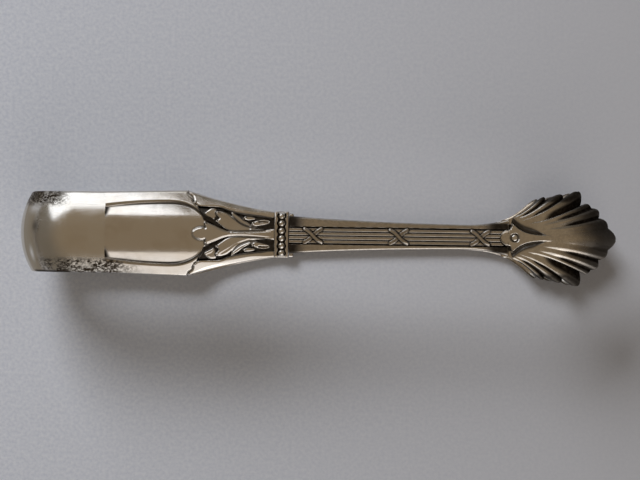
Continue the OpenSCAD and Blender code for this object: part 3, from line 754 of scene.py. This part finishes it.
def stem_relief(along, across, half_width):
    """The height of the stem's face, and how black it is."""
    edge = rounded_edge(half_width - np.abs(across), 0.38)
    across = across + REED_SHIFT
    out = np.abs(across)
    offset = np.clip(2 * np.abs((across / REED_PITCH + REED_COUNT / 2) % 1.0 - 0.5), 0, 1)
    reeds = -REED_DROP - 0.07 * offset ** 2 - 0.28 * offset ** 6
    margin = -MARGIN_DROP - MARGIN_SLOPE * (out - REED_BAND - 0.15)
    beside = ease(REED_BAND - 0.02, REED_BAND + 0.22, out)
    height = np.where(out < REED_BAND, reeds, -0.80 + (margin + 0.80) * beside)
    # Painted shade on the margins beside the collar and beside the claw's tongue
    shade = ease(3.6, 0.8, along - STEM_START) * ease(REED_BAND, REED_BAND + 0.3, out)
    beside_tongue = ease(REED_BAND - 0.25, REED_BAND + 0.05, out) * ease(3.1, 2.6, out)
    shade = np.maximum(shade, ease(5.6, 2.4, CLAW_BASE - along) * beside_tongue)
    # Black in the grooves between the reeds and at the band's edges, which is tarnish and painted shade on the lit
    # flanks
    grooves_and_shade = 0.85 * ease(0.50, 0.82, offset) * (out < REED_BAND) + 0.8 * ease(0.24, 0.10, np.abs(out - REED_BAND))
    for centre in CROSSINGS:
        dx = along - centre
        over, into = ribbon(dx, across, lean=-1, top=-0.02, rounding=0.16, dive=0.15)
        under, beneath = ribbon(dx, across, lean=1, top=-0.10, rounding=0.08, dive=0.08)
        under = under - 0.08 * ease(-0.2, 0.0, into)
        # Painted shade round the ribbons' edges, and a quarter of it on the ribbon that passes under
        grooves_and_shade = np.maximum(grooves_and_shade, 0.8 * ease(-0.30, -0.08, np.maximum(into, beneath)))
        grooves_and_shade = np.where(np.maximum(over, under) > height, 0.25 * (into < 0), grooves_and_shade)
        height = np.maximum(height, np.maximum(over, under))
        height = height - 0.10 * np.exp(-(into / 0.09) ** 2) * (out < REED_BAND)
    seat = np.hypot(along - CLAW_BASE - 0.05, across)
    height = np.where(seat < SEAT_RADIUS, np.minimum(height, SEAT_HEIGHT), height)
    return height - edge, np.maximum(shade, grooves_and_shade)


def make_stem():
    """The upper stem, with the short tail under the claw's pad that the rivet holds."""
    along = np.concatenate([np.linspace(STEM_START, CLAW_BASE - 0.02, 430), [CLAW_BASE - 0.019],
                            np.linspace(CLAW_BASE, CLAW_BASE + TAIL_LENGTH, 12)])
    share = np.linspace(-1, 1, 113)
    along, share = np.meshgrid(along, share, indexing="ij")
    half_width = np.interp(along, stem_edge[:, 0], stem_edge[:, 1])
    tail = along > CLAW_BASE - 0.0195
    round_end = np.clip(along - CLAW_BASE - TAIL_ROUND, 0, TAIL_HALF - 0.01)
    half_width = np.where(tail, np.sqrt(TAIL_HALF ** 2 - round_end ** 2), half_width)
    across = share * half_width
    height, shade = stem_relief(along, across, half_width)
    height = np.where(tail, TAIL_TOP, height)
    hollowness = ease(0.02, 0.15, blurred(height, (4, 5)) - height)
    dirt_and_shade = np.clip(np.maximum(hollowness, 0.96 * shade), 0, 1)
    front = pressed_grid("upper_reeded_stem", arm_place(along, across, height), patina=dirt_and_shade,
                         tarnish=np.full(dirt_and_shade.shape, 0.2), film=np.full(dirt_and_shade.shape, 0.24))
    along, across, half_width = (values[:, ::8] for values in (along, across, half_width))
    under = -STEM_DEPTH + rounded_edge(half_width - np.abs(across), 0.25) * (along < CLAW_BASE - 0.02)
    still = np.zeros(under.shape)
    back = pressed_grid("stem_back", arm_place(along, across, under), layer=1.0, patina=still, tarnish=still + 0.3)
    return close_shell(front, back)


upper_stem = make_stem()
lower_stem = lower_copy(upper_stem, "lower_reeded_stem")
report(upper_stem)

# %% [markdown]
# ## The claw
# The claw is a leaf with one lobe at its tip and six on each side, fluted from root to tip and curled inwards, so that
# the two claws can hold a lump of sugar. A calyx lies on its root: a rounded tongue over the stem, a pad with
# a dimple for the rivet, and a rib that runs out along the middle. Its lines fan out from the root, so the grid fans
# out with them: one direction runs along each flute, the other crosses from lobe to lobe.

# %% The leaf's outline
CLAW_END = LENGTH
CLAW_HALF = 9.0
LEAF_ROOT, LEAF_ROOT_HALF = CLAW_BASE + 0.06, 3.55
CREST, DROP, SIDE_RADIUS = 0.3, 4.9, 20.0
# Each lobe from the middle outwards: its crest and the notch after it (shares of the length and of the half width),
# then of the valley at that notch: its depth, where along the leaf it starts, its half width in lobes, how black it is
LOBES = [
    ((1.000, 0.00), (0.924, 0.23), 0.14, 0.55, 0.520, 0.8),
    ((0.900, 0.38), (0.833, 0.44), 0.24, 0.36, 0.598, 1.0),
    ((0.830, 0.60), (0.765, 0.65), 0.24, 0.34, 0.598, 1.0),
    ((0.724, 0.74), (0.661, 0.69), 0.46, 0.26, 0.806, 1.0),
    ((0.648, 1.00), (0.500, 0.84), 0.26, 0.20, 0.728, 1.0),
    ((0.465, 0.93), (0.333, 0.80), 0.18, 0.12, 0.650, 1.0),
    ((0.317, 0.87), (0.248, 0.77), 0.20, 0.04, 0.780, 1.0),
]
LOBE_STEPS = 14


def lobe_line(w):
    """The rim of the leaf at each line w, and the lobe's share there."""
    which = np.minimum(np.floor(np.abs(w) + 0.5).astype(int), len(LOBES) - 1)
    share = np.abs(w) + 0.5 - which
    crest = np.array([lobe[0] for lobe in LOBES])[which]
    after = np.array([lobe[1] for lobe in LOBES])[which]
    notches = np.array([(LOBES[0][1][0], -LOBES[0][1][1])] + [lobe[1] for lobe in LOBES[:-1]])
    before = notches[which]
    lean = 2 * crest - (before + after) / 2
    s = share[:, None]
    rim = before * (1 - s) ** 2 + lean * 2 * s * (1 - s) + after * s ** 2
    return rim, share


lines = np.linspace(-(len(LOBES) - 0.5), len(LOBES) - 0.5, (2 * len(LOBES) - 1) * LOBE_STEPS + 1)
rim, lobe_share = lobe_line(lines)
rim[:, 1] *= np.sign(lines) + (lines == 0)
print(len(lines), "lines fan out over", 2 * len(LOBES) - 1, "lobes")

# %% [markdown]
# ## The calyx and the flutes
# Two surfaces make the claw: the leaf, which falls and curls towards its tips with a valley running in from each
# notch, and the calyx on its root. Each is described by itself, so that one can be corrected without the other.

# %% The calyx and the leaf's surface
TONGUE_CENTRE, TONGUE_RADIUS = CLAW_BASE + 0.05, 1.55
calyx_line = smooth_loop([(CLAW_BASE + 0.84, 2.75), (CLAW_BASE + 1.9, 1.85), (CLAW_BASE + 3.0, 1.2),
                          (CLAW_BASE + 4.3, 0.8), (CLAW_BASE + 6.2, 0.6), (CLAW_BASE + 8.0, 0.52),
                          (CLAW_BASE + 10.2, 0.3)], closed=False)
RIB_END = CLAW_BASE + 10.2
RIVET = CLAW_BASE + 1.25


def calyx_half(along):
    """Half the width of the tongue, the pad and the rib at each place along the arm."""
    tongue = np.sqrt(np.clip(TONGUE_RADIUS ** 2 - (along - TONGUE_CENTRE) ** 2, 0.02, None))
    flare = 1.5 + (2.75 - 1.5) * np.clip((along - CLAW_BASE - 0.42) / 0.42, 0, 1)
    pad = np.interp(along, calyx_line[:, 0], calyx_line[:, 1])
    return np.where(along < CLAW_BASE + 0.42, np.minimum(tongue, 1.5),
                    np.where(along < CLAW_BASE + 0.84, flare, pad))


def claw_places():
    """The claw's places along and across, with the share along each line, for the tongue and then the leaf."""
    lead = CLAW_START + (LEAF_ROOT - CLAW_START) * np.linspace(0, 1, 34)[:-1]
    lead[0] = CLAW_START + 0.012
    lead_along = np.broadcast_to(lead[:, None], (len(lead), len(lines)))
    lead_half = np.minimum(calyx_half(lead), 2.75)[:, None]
    lead_across = lead_half * (lines / lines[-1])[None, :]
    t = np.linspace(0, 1, 125)[:, None] ** 0.95
    root_across = LEAF_ROOT_HALF / CLAW_HALF * (lines / lines[-1])[None, :]
    middle_across = root_across + (rim[None, :, 1] - root_across) * 0.25
    length_share = 2 * t * (1 - t) * 0.5 * rim[None, :, 0] + t ** 2 * rim[None, :, 0]
    across = ((1 - t) ** 2 * root_across + 2 * t * (1 - t) * middle_across + t ** 2 * rim[None, :, 1]) * CLAW_HALF
    along = LEAF_ROOT + length_share * (CLAW_END - LEAF_ROOT)
    t = np.concatenate([np.zeros(lead_along.shape), np.broadcast_to(t, along.shape)])
    across = np.clip(across, -CLAW_HALF, CLAW_HALF)
    return np.concatenate([lead_along, along]), np.concatenate([lead_across, across]), t


def leaf_surface(along, across, t):
    """The height of the leaf without its calyx, the depth of its valleys, how black they are, and the curl."""
    u = np.clip((along - CLAW_BASE) / (CLAW_END - CLAW_BASE), 0, 1)
    crest = -CREST - (DROP - CREST) * (np.clip(u - 0.3, 0, None) / 0.7) ** 2
    valley = 0.16 * ease(0.2, 0.7, t) * (1 - np.abs(np.sin(math.pi * lobe_share)))[None, :]
    black = np.zeros(valley.shape)
    for k, (_, _, depth, start, half_width, blackness) in enumerate(LOBES):
        across_valley = np.clip(np.abs(np.abs(lines) - k - 0.5) / half_width, 0, 1)[None, :]
        trough = (1 - across_valley ** 2) ** 2 * ease(start, start + 0.4, t)
        valley = valley + depth * trough
        # The black in the valleys is tarnish and painted shade
        black = np.maximum(black, blackness * ease(0.50, 0.88, trough))
    curl = 0.45 * (np.clip(t - 0.78, 0, None) / 0.22) ** 2
    return crest - across ** 2 / (2 * SIDE_RADIUS), valley, black, curl


print(f"calyx from {CLAW_START:.2f} mm, its rib to {RIB_END:.2f} mm, rivet at {RIVET:.2f} mm")

# %% [markdown]
# ## Pressing the claw
# The calyx is laid over the leaf with a sunk crescent on each side and a dimple for the rivet. The face is then
# blurred by one step of the grid, as cast silver has no knife edges. The tips are painted dark, more on the upper
# side: tarnish and a painted dark reflection.

# %% Press the claw
def make_claw():
    """The upper claw."""
    along, across, t = claw_places()
    out = np.abs(across)
    base, valley, black, curl = leaf_surface(along, across, t)
    leaf = base - valley - curl
    half = calyx_half(along)
    to_edge = half - out
    on_tongue = along < LEAF_ROOT
    fade = ease(RIB_END, CLAW_BASE + 5.5, along)
    middle_crest = base + across ** 2 / (2 * SIDE_RADIUS)
    top = middle_crest + 0.16 * fade - 0.05 * (out / np.maximum(half, 0.3)) ** 2
    top = np.minimum(top, -0.02)
    crescent_width = 0.95 * ease(CLAW_BASE + 7.8, CLAW_BASE + 4.0, along) + 0.02
    crescent = ease(-crescent_width, -0.4 * crescent_width, to_edge) * ease(CLAW_BASE + 0.3, CLAW_BASE + 1.0, along)
    crescent = np.where(on_tongue, 0.0, crescent * ease(CLAW_BASE + 7.6, CLAW_BASE + 6.0, along))
    leaf_cut = leaf - 0.28 * crescent
    on_calyx = ease(-0.07, 0.05, to_edge) * ease(RIB_END, RIB_END - 2.5, along)
    on_calyx = np.where(on_tongue, 1.0, on_calyx)
    height = leaf_cut + (np.maximum(top, leaf_cut) - leaf_cut) * on_calyx
    tongue_edge = np.clip(np.where(on_tongue, to_edge, 9.0), 0, None)
    rim_bead = np.exp(-((to_edge - 0.24) / 0.19) ** 2) * ease(CLAW_BASE + 3.0, CLAW_BASE + 1.0, along)
    height = height - rounded_edge(tongue_edge, 0.18) + 0.12 * rim_bead
    height = np.minimum(height, -0.01)
    dimple = np.hypot(along - RIVET, across)
    height = height - 0.32 * ease(0.92, 0.70, dimple)
    height[1:-1, 1:-1] = blurred(height, (1, 1))[1:-1, 1:-1]
    # Painted shade with tarnish: the notches beside the tongue and the crescents under the calyx's edge
    notch = ease(CLAW_BASE + 1.0, CLAW_BASE + 0.7, along) * ease(2.7, 2.4, out)
    crescent_shade_and_dirt = ease(-1.5 * crescent_width, -0.9 * crescent_width, to_edge) * (crescent_width > 0.1)
    crescent_shade_and_dirt = crescent_shade_and_dirt * ease(CLAW_BASE + 0.3, CLAW_BASE + 1.0, along)
    dirt_and_shade = np.maximum(np.maximum(black, 0.9 * crescent_shade_and_dirt), notch) * (1 - on_calyx)
    dirt_and_shade = np.maximum(dirt_and_shade, 0.42 * ease(0.95, 0.8, dimple))
    # Painted dark tips: tarnish and a painted dark reflection, darker on the upper side, and a black outer band on the
    # outer lobes
    tip_tarnish_and_dark_reflection = (0.62 + 0.26 * ease(-1.0, 2.0, across)) * ease(0.55, 0.95, t)
    tip_tarnish_and_dark_reflection = np.maximum(tip_tarnish_and_dark_reflection, 0.93 * ease(0.5, 0.8, t) * ease(3.4, 3.9, np.abs(lines))[None, :] * ease(6.0, 7.2, out))
    dirt_and_shade = np.clip(np.maximum(dirt_and_shade, tip_tarnish_and_dark_reflection), 0, 1)
    front = pressed_grid("upper_leaf_claw", arm_place(along, across, height), patina=dirt_and_shade,
                         tarnish=np.full(dirt_and_shade.shape, 0.35))
    thick = 0.9 * (0.6 + 0.4 * np.clip(3 * t, 0, 1))
    under = base - 0.8 * valley - curl - thick
    under = np.where(on_tongue, -1.22, np.minimum(under, height - 0.25))
    still = np.zeros(under.shape)
    back = pressed_grid("claw_back", arm_place(along, across, under), layer=1.0,
                        patina=np.maximum(0.6 * ease(0.2, 0.6, valley), 0.85 * ease(0.8, 1.0, t)), tarnish=still + 0.3)
    return close_shell(front, back, (("side", -1.0), ("side", 1.0), ("end", -1.0), ("end", 1.0)), angle=60.0)


upper_claw = make_claw()
lower_claw = lower_copy(upper_claw, "lower_leaf_claw")
report(upper_claw)

# %% [markdown]
# ## The rivet
# A small rivet holds the claw's pad on the stem's tail. Its domed head shows as a stud in the dimple, and its other
# end is hammered flat inside. A profile of half the rivet, spun round its own axis, gives the head, shank and tail.

# %% Spin the rivet
def make_rivet():
    """The upper rivet, spun from its profile."""
    head, shank, tail = 0.60, 0.45, 0.80
    seat, top = -0.30, -0.05
    dome = [(0.0005 + head * math.sin(a), seat + (top - seat) * math.cos(a))
            for a in np.linspace(0.0, math.pi / 2, 12)]
    profile = dome + [(head - 0.04, seat - 0.02), (shank, seat - 0.03), (shank, -1.87), (tail - 0.05, -1.92),
                      (tail, -1.98), (tail, -2.12), (tail - 0.12, -2.21), (tail - 0.4, -2.24), (0.0005, -2.25)]
    nothing_selected()
    bpy.ops.mesh.primitive_plane_add(size=1.0)
    piece = bpy.context.object
    piece.name = "upper_stud_rivet"
    bpy.ops.object.mode_set(mode="EDIT")
    bpy.ops.mesh.select_mode(type="VERT")
    bpy.ops.mesh.delete(type="ONLY_FACE")
    bpy.ops.mesh.select_all(action="SELECT")
    bpy.ops.mesh.merge(type="CENTER")
    start = arm_place(np.array(RIVET), np.array(0.0), np.array(0.0))
    first = arm_place(np.array(RIVET + profile[0][0]), np.array(0.0), np.array(profile[0][1]))
    bpy.ops.transform.translate(value=tuple(first))
    for (r0, h0), (r1, h1) in zip(profile[:-1], profile[1:]):
        bpy.ops.mesh.extrude_region_move(TRANSFORM_OT_translate={"value": ((r1 - r0) * MM, 0, (h1 - h0) * MM)})
    bpy.ops.mesh.select_all(action="SELECT")
    bpy.ops.mesh.spin(steps=40, angle=2 * math.pi, center=tuple(start), axis=(0, 0, 1))
    bpy.ops.mesh.select_all(action="SELECT")
    bpy.ops.mesh.remove_doubles(threshold=2e-6)
    bpy.ops.object.mode_set(mode="OBJECT")
    finish_shell(piece, 35.0)
    attribute = piece.data.attributes.new("patina", "FLOAT", "POINT")
    rise = np.array([(v.co.z / MM - SPAN) for v in piece.data.vertices])
    attribute.data.foreach_set("value", ease(-0.2, -0.3, rise).astype(np.float32) * 0.6)
    piece.data.attributes.new("tarnish", "FLOAT", "POINT")
    return piece


upper_rivet = make_rivet()
lower_rivet = lower_copy(upper_rivet, "lower_stud_rivet")
report(upper_rivet)

# %% [markdown]
# ## A bench for finishes
# A finish in Blender is a net of nodes. Wired one by one, the nodes hide what they are for, so a bench of short
# helpers adds a node, sets it and joins it to what it reads. The silver, the table and the room are all made on it.

# %% Helpers to build a finish
class FinishBench:
    """Adds nodes to one material or room. A value is a number, a colour or what comes out of another node."""

    def __init__(self, tree):
        self.tree = tree
        self.places = self.add("ShaderNodeTexCoord").outputs

    def add(self, kind, **settings):
        """A new node with its settings."""
        node = self.tree.nodes.new(kind)
        for name, value in settings.items():
            setattr(node, name, value)
        return node

    def put(self, value, socket):
        """Sets a socket, or joins it to another node."""
        if isinstance(value, bpy.types.NodeSocket):
            self.tree.links.new(value, socket)
        else:
            socket.default_value = value

    def fill(self, node, **values):
        """Sets or joins several named sockets of a node, with _ for a space in their names."""
        for name, value in values.items():
            self.put(value, node.inputs[name.replace("_", " ")])
        return node

    def mark(self, name):
        """A mark that was kept on the mesh's points."""
        return self.add("ShaderNodeAttribute", attribute_name=name).outputs["Fac"]

    def noise(self, scale, detail, rough, stretch=(1, 1, 1)):
        """A cloudy pattern on the piece's own coordinates."""
        turn = self.fill(self.add("ShaderNodeMapping"), Vector=self.places["Object"], Scale=stretch)
        cloud = self.fill(self.add("ShaderNodeTexNoise"), Vector=turn.outputs["Vector"], Scale=scale, Detail=detail,
                          Roughness=rough)
        return cloud.outputs["Fac"]

    def axis(self, place, name):
        """One axis of a place or a direction."""
        return self.fill(self.add("ShaderNodeSeparateXYZ"), Vector=place).outputs[name]

    def ranged(self, value, low, high, to_low=0.0, to_high=1.0, way="SMOOTHSTEP"):
        """A value moved from one range to another, and kept within it."""
        node = self.fill(self.add("ShaderNodeMapRange", interpolation_type=way), Value=value, From_Min=low,
                         From_Max=high, To_Min=to_low, To_Max=to_high)
        return node.outputs["Result"]

    def maths(self, kind, first, second):
        """Two values added, multiplied or compared, and kept between 0 and 1."""
        node = self.add("ShaderNodeMath", operation=kind, use_clamp=True)
        self.put(first, node.inputs[0])
        self.put(second, node.inputs[1])
        return node.outputs["Value"]

    def mixed(self, share, first, second):
        """A colour between two others."""
        node = self.add("ShaderNodeMix", data_type="RGBA")
        self.put(share, node.inputs[0])
        for socket, colour in zip([s for s in node.inputs if s.type == "RGBA"], (first, second)):
            self.put((*colour, 1.0) if isinstance(colour, tuple) else colour, socket)
        return [s for s in node.outputs if s.type == "RGBA"][0]

    def bump(self, pattern, strength, distance):
        """A node that makes a surface uneven by a pattern."""
        return self.fill(self.add("ShaderNodeBump"), Height=pattern, Strength=strength, Distance=distance)


print("bench for finishes ready")

# %% [markdown]
# ## The finish of old silver
# Old table silver is bright on its high places, where hands and cloths polish it, and black or brown in the hollows,
# where sulphur tarnish stays. Marks from the modelling drive this: the black mark, which is the dirt in the hollows
# and also painted shade and painted dark reflection; tarnish, the blotches on plain faces; and film, a smooth brown
# haze. The shader adds what is too fine to model: soft scratches, faint stains and a little unevenness. These patterns
# read Object coordinates, so they stay put in every pose.

# %% Build the silver materials
STAIN_TINT, BROWN_FILM = (0.72, 0.62, 0.48), (0.37, 0.30, 0.20)
# The black colour stands for dirt in the hollows and also for painted shade
BLACK_DIRT_AND_SHADE, OLD_SPECK = (0.014, 0.010, 0.007), (0.05, 0.036, 0.024)


def silver(name, colour, roughness, speck, film):
    """Worn silver: polish, scratches, a thin film of tarnish, black that is dirt and painted shade, and specks of old
    tarnish.
    """
    material = bpy.data.materials.new(name)
    material.use_nodes = True
    bench = FinishBench(material.node_tree)
    shader = material.node_tree.nodes["Principled BSDF"]
    shader.inputs["Metallic"].default_value = 1.0
    stain = bench.ranged(bench.noise(170.0, 5.0, 0.6), 0.42, 0.75, 0.0, film)
    stained = bench.mixed(stain, colour, tuple(c * k for c, k in zip(colour, STAIN_TINT)))
    stained = bench.mixed(bench.mark("film"), stained, BROWN_FILM)
    grain = bench.noise(1500.0, 4.0, 0.65)
    # Painted shade and painted dark reflection are mixed in with the dirt through this black mark
    dirt_and_shade = bench.maths("MULTIPLY", bench.mark("patina"), bench.ranged(grain, 0.25, 0.6, 0.93, 1.0))
    dirt_and_shade_colour = bench.mixed(dirt_and_shade, stained, BLACK_DIRT_AND_SHADE)
    fleck = bench.ranged(bench.noise(2300.0, 6.0, 0.72, (0.7, 1.0, 1.0)), 0.40, 0.54)
    blotch = bench.ranged(bench.noise(430.0, 4.0, 0.6), 0.32, 0.50)
    specks = bench.maths("MULTIPLY", bench.maths("MULTIPLY", fleck, blotch),
                         bench.maths("MULTIPLY", bench.mark("tarnish"), speck))
    scratch = bench.noise(1.0, 4.0, 0.6, (220.0, 5200.0, 5200.0))
    polish = bench.maths("ADD", bench.ranged(scratch, 0.3, 0.7, roughness * 0.75, roughness * 1.2),
                         bench.ranged(bench.noise(420.0, 4.0, 0.6), 0.35, 0.7, 0.0, 0.05))
    worn = bench.maths("ADD", polish, bench.maths("MULTIPLY", dirt_and_shade, 0.30))
    worn = bench.maths("ADD", worn, bench.maths("MULTIPLY", specks, 0.35))
    fine = bench.bump(scratch, 0.05, 0.00002)
    uneven = bench.bump(bench.noise(330.0, 3.0, 0.5), 0.12, 0.0001)
    bench.fill(uneven, Normal=fine.outputs["Normal"])
    bench.fill(shader, Base_Color=bench.mixed(specks, dirt_and_shade_colour, OLD_SPECK), Roughness=worn,
               Normal=uneven.outputs["Normal"])
    return material


FINISHES = {
    "bow_silver": silver("bow_silver", (0.84, 0.81, 0.75), 0.19, speck=1.0, film=0.22),
    "chased_silver": silver("chased_silver", (0.82, 0.78, 0.72), 0.13, speck=1.0, film=0.30),
    "bead_silver": silver("bead_silver", (0.86, 0.83, 0.77), 0.12, speck=0.2, film=0.20),
    "claw_silver": silver("claw_silver", (0.80, 0.75, 0.67), 0.12, speck=0.4, film=0.50),
}
print(len(FINISHES), "silver finishes")

# %% [markdown]
# ## Every piece on its body
# The arms and all that is soldered or riveted to them ride on the arm's body, and each hides the measured solid that
# it stands for. The two halves of the bow stay in place, and the measured bow is hidden.

# %% Ride, replace and dress
ARM_PIECES = {
    "shoulder": (upper_shoulder, lower_shoulder, "chased_silver"),
    "collar": (upper_collar, lower_collar, "chased_silver"),
    "beads": (upper_beads, lower_beads, "bead_silver"),
    "stem": (upper_stem, lower_stem, "chased_silver"),
    "claw": (upper_claw, lower_claw, "claw_silver"),
    "rivet": (upper_rivet, lower_rivet, "bead_silver"),
}


def dress(piece, finish):
    """Gives a piece its finish."""
    piece.data.materials.clear()
    piece.data.materials.append(FINISHES[finish])


for node, (upper_piece, lower_piece, finish) in ARM_PIECES.items():
    for arm, piece in (("upper", upper_piece), ("lower", lower_piece)):
        dress(piece, finish)
        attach(piece, f"{arm}_arm")
        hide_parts(f"{arm}_{node}")

# The two halves of the bow get their finish and stay in place, and the measured bow is hidden
for arm, half, height in (("upper", bow_upper, SPAN * MM), ("lower", bow_lower, 0.0)):
    dress(half, "bow_silver")
    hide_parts("bow")
    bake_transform(half)
print("pieces on the arms:", 2 * len(ARM_PIECES), "and two halves of the bow")

# %% [markdown]
# ## The table
# The tongs lie on a pale grey table with a fine pebbled surface. Its colour is painted paler and bluer towards the
# window and darker away from it, which is painted light falloff. A plain plane is enough, because only its colour and
# its shadow are seen. It is named as part of the stage, so that it isn't taken for a piece of the tongs.

# %% Lay the table
nothing_selected()
bpy.ops.mesh.primitive_plane_add(size=3.0, location=(0, 0, -0.0001))
table = bpy.context.object
table.name = "table_top"
table_paint = bpy.data.materials.new("pale_table")
table_paint.use_nodes = True
bench = FinishBench(table_paint.node_tree)
mottle = bench.noise(1500.0, 5.0, 0.5)
# Painted light: the mottled colour is paler and bluer on the window's side, and darker away from it
painted_lit_colour = bench.mixed(bench.ranged(mottle, 0.3, 0.7, way="LINEAR"), (0.81, 0.83, 0.88), (0.97, 0.98, 1.00))
painted_light_falloff = bench.ranged(bench.axis(bench.places["Object"], "X"), -0.07, 0.09, way="LINEAR")
bench.fill(table_paint.node_tree.nodes["Principled BSDF"], Roughness=0.75, Specular_IOR_Level=0.2,
           Base_Color=bench.mixed(painted_light_falloff, painted_lit_colour, (0.68, 0.665, 0.66)),
           Normal=bench.bump(mottle, 0.25, 0.0002).outputs["Normal"])
table.data.materials.append(table_paint)
print("table laid under the tongs")

# %% [markdown]
# ## The room
# Silver shows what is round it, so the room matters as much as the metal. It is dim: brown overhead, which is why flat
# silver looks brown, greyer on the side of the pale wall, and dark beyond the claws. A photograph of a room could be
# used, but a few soft steps between plain colours are easier to correct.

# %% Set up the room
room = bpy.data.worlds.new("room")
bpy.context.scene.world = room
room.use_nodes = True
bench = FinishBench(room.node_tree)
way = bench.places["Generated"]
pale_side = bench.add("ShaderNodeVectorMath", operation="DOT_PRODUCT")
bench.put(way, pale_side.inputs[0])
bench.put((1.6, -1.0, 0.0), pale_side.inputs[1])
walls = bench.mixed(bench.ranged(pale_side.outputs["Value"], -0.1, 0.6), (0.15, 0.13, 0.105), (0.30, 0.295, 0.29))
walls = bench.mixed(bench.ranged(bench.axis(way, "X"), 0.15, 0.75), walls, (0.035, 0.030, 0.027))
around = bench.mixed(bench.ranged(bench.axis(way, "Z"), 0.45, 0.88), walls, (0.22, 0.172, 0.118))
# The room is as bright in the silver as it looks, but it lights the table less than the window does
rays = bench.add("ShaderNodeLightPath").outputs
seen = bench.maths("MAXIMUM", rays["Is Camera Ray"], rays["Is Glossy Ray"])
strength = bench.ranged(seen, 0.0, 1.0, 0.40, 1.0, way="LINEAR")
bench.fill(room.node_tree.nodes["Background"], Color=around, Strength=strength)
print("dim room ready")

# %% [markdown]
# ## The lamps
# A window on one side gives the white bands on the crowned faces, and a pale wall and sill opposite light the other
# edge. One lamp that is strong enough for the table burns hard white patches into the silver. So the window is set up
# twice: once for the table, unseen in the silver, and once as two weaker panes that only the silver shows.

# %% Hang the lamps
def soft_lamp(name, azimuth, elevation, distance, width, height, radiance, colour, roll=0.0):
    """A rectangular lamp that faces the tongs, as bright as its radiance where the silver shows it."""
    lamp = bpy.data.lights.new(name, "AREA")
    lamp.shape = "RECTANGLE"
    lamp.size, lamp.size_y = width, height
    lamp.energy = radiance * math.pi * width * height
    lamp.color = colour
    holder = bpy.data.objects.new(name, lamp)
    bpy.context.collection.objects.link(holder)
    a, e = math.radians(azimuth), math.radians(elevation)
    towards = Vector((math.cos(a) * math.cos(e), math.sin(a) * math.cos(e), math.sin(e)))
    holder.location = towards * distance
    holder.rotation_mode = "QUATERNION"
    holder.rotation_quaternion = towards.to_track_quat("Z", "Y") @ Quaternion((0, 0, 1), math.radians(roll))
    return holder


WINDOW, PANE = (0.93, 0.97, 1.06), (0.93, 0.98, 1.07)
WALL, SILL = (1.0, 0.95, 0.93), (1.0, 0.96, 0.94)
window = soft_lamp("window", 119, 39, 1.0, 0.50, 0.38, 9.0, WINDOW, roll=18)
window.visible_glossy = False
high_pane = soft_lamp("window_in_silver", 128, 36, 1.0, 0.88, 0.48, 1.3, PANE, roll=-15)
low_pane = soft_lamp("low_pane_in_silver", 105, 21, 1.0, 0.46, 0.16, 1.2, PANE)
for pane in (high_pane, low_pane):
    pane.visible_diffuse = False
soft_lamp("pale_wall", -72, 35, 0.8, 0.80, 0.50, 0.62, WALL)
soft_lamp("pale_sill", -75, 13, 0.8, 0.7, 0.22, 1.2, SILL)
print("five lamps hung")

# %% [markdown]
# ## The camera
# The tongs are seen from straight above, from about 0.4 m, with hardly any tilt. A camera constraint could aim it, but
# the small turns are easier to match to the picture when each one is a number of its own.

# %% Set up the camera
PIXELS_PER_MM, FOCAL_PIXELS, IMAGE_WIDTH = 5.3, 2120.0, 640.0
SIDE_TILT, TILT, ROLL = math.radians(1.6), math.radians(0.2), math.radians(-0.83)
AIM_STATION, AIM_ACROSS = SEAM + 40.86, -0.93
aim = Vector((cad_low.x + AIM_STATION * MM, AIM_ACROSS * MM, SPAN * MM))
camera_data = bpy.data.cameras.new("camera")
camera_data.sensor_width = 36.0
camera_data.lens = 36.0 * FOCAL_PIXELS / IMAGE_WIDTH
camera_data.clip_start, camera_data.clip_end = 0.005, 20.0
camera = bpy.data.objects.new("camera", camera_data)
bpy.context.collection.objects.link(camera)
turn = Matrix.Rotation(SIDE_TILT, 4, "Y") @ Matrix.Rotation(TILT, 4, "X") @ Matrix.Rotation(-ROLL, 4, "Z")
away = turn @ Vector((0, 0, FOCAL_PIXELS / PIXELS_PER_MM * MM))
camera.matrix_world = Matrix.Translation(aim + away) @ turn
bpy.context.scene.camera = camera
bpy.context.scene.view_settings.view_transform = "Standard"
print(f"camera {FOCAL_PIXELS / PIXELS_PER_MM:.0f} mm above the upper arm")
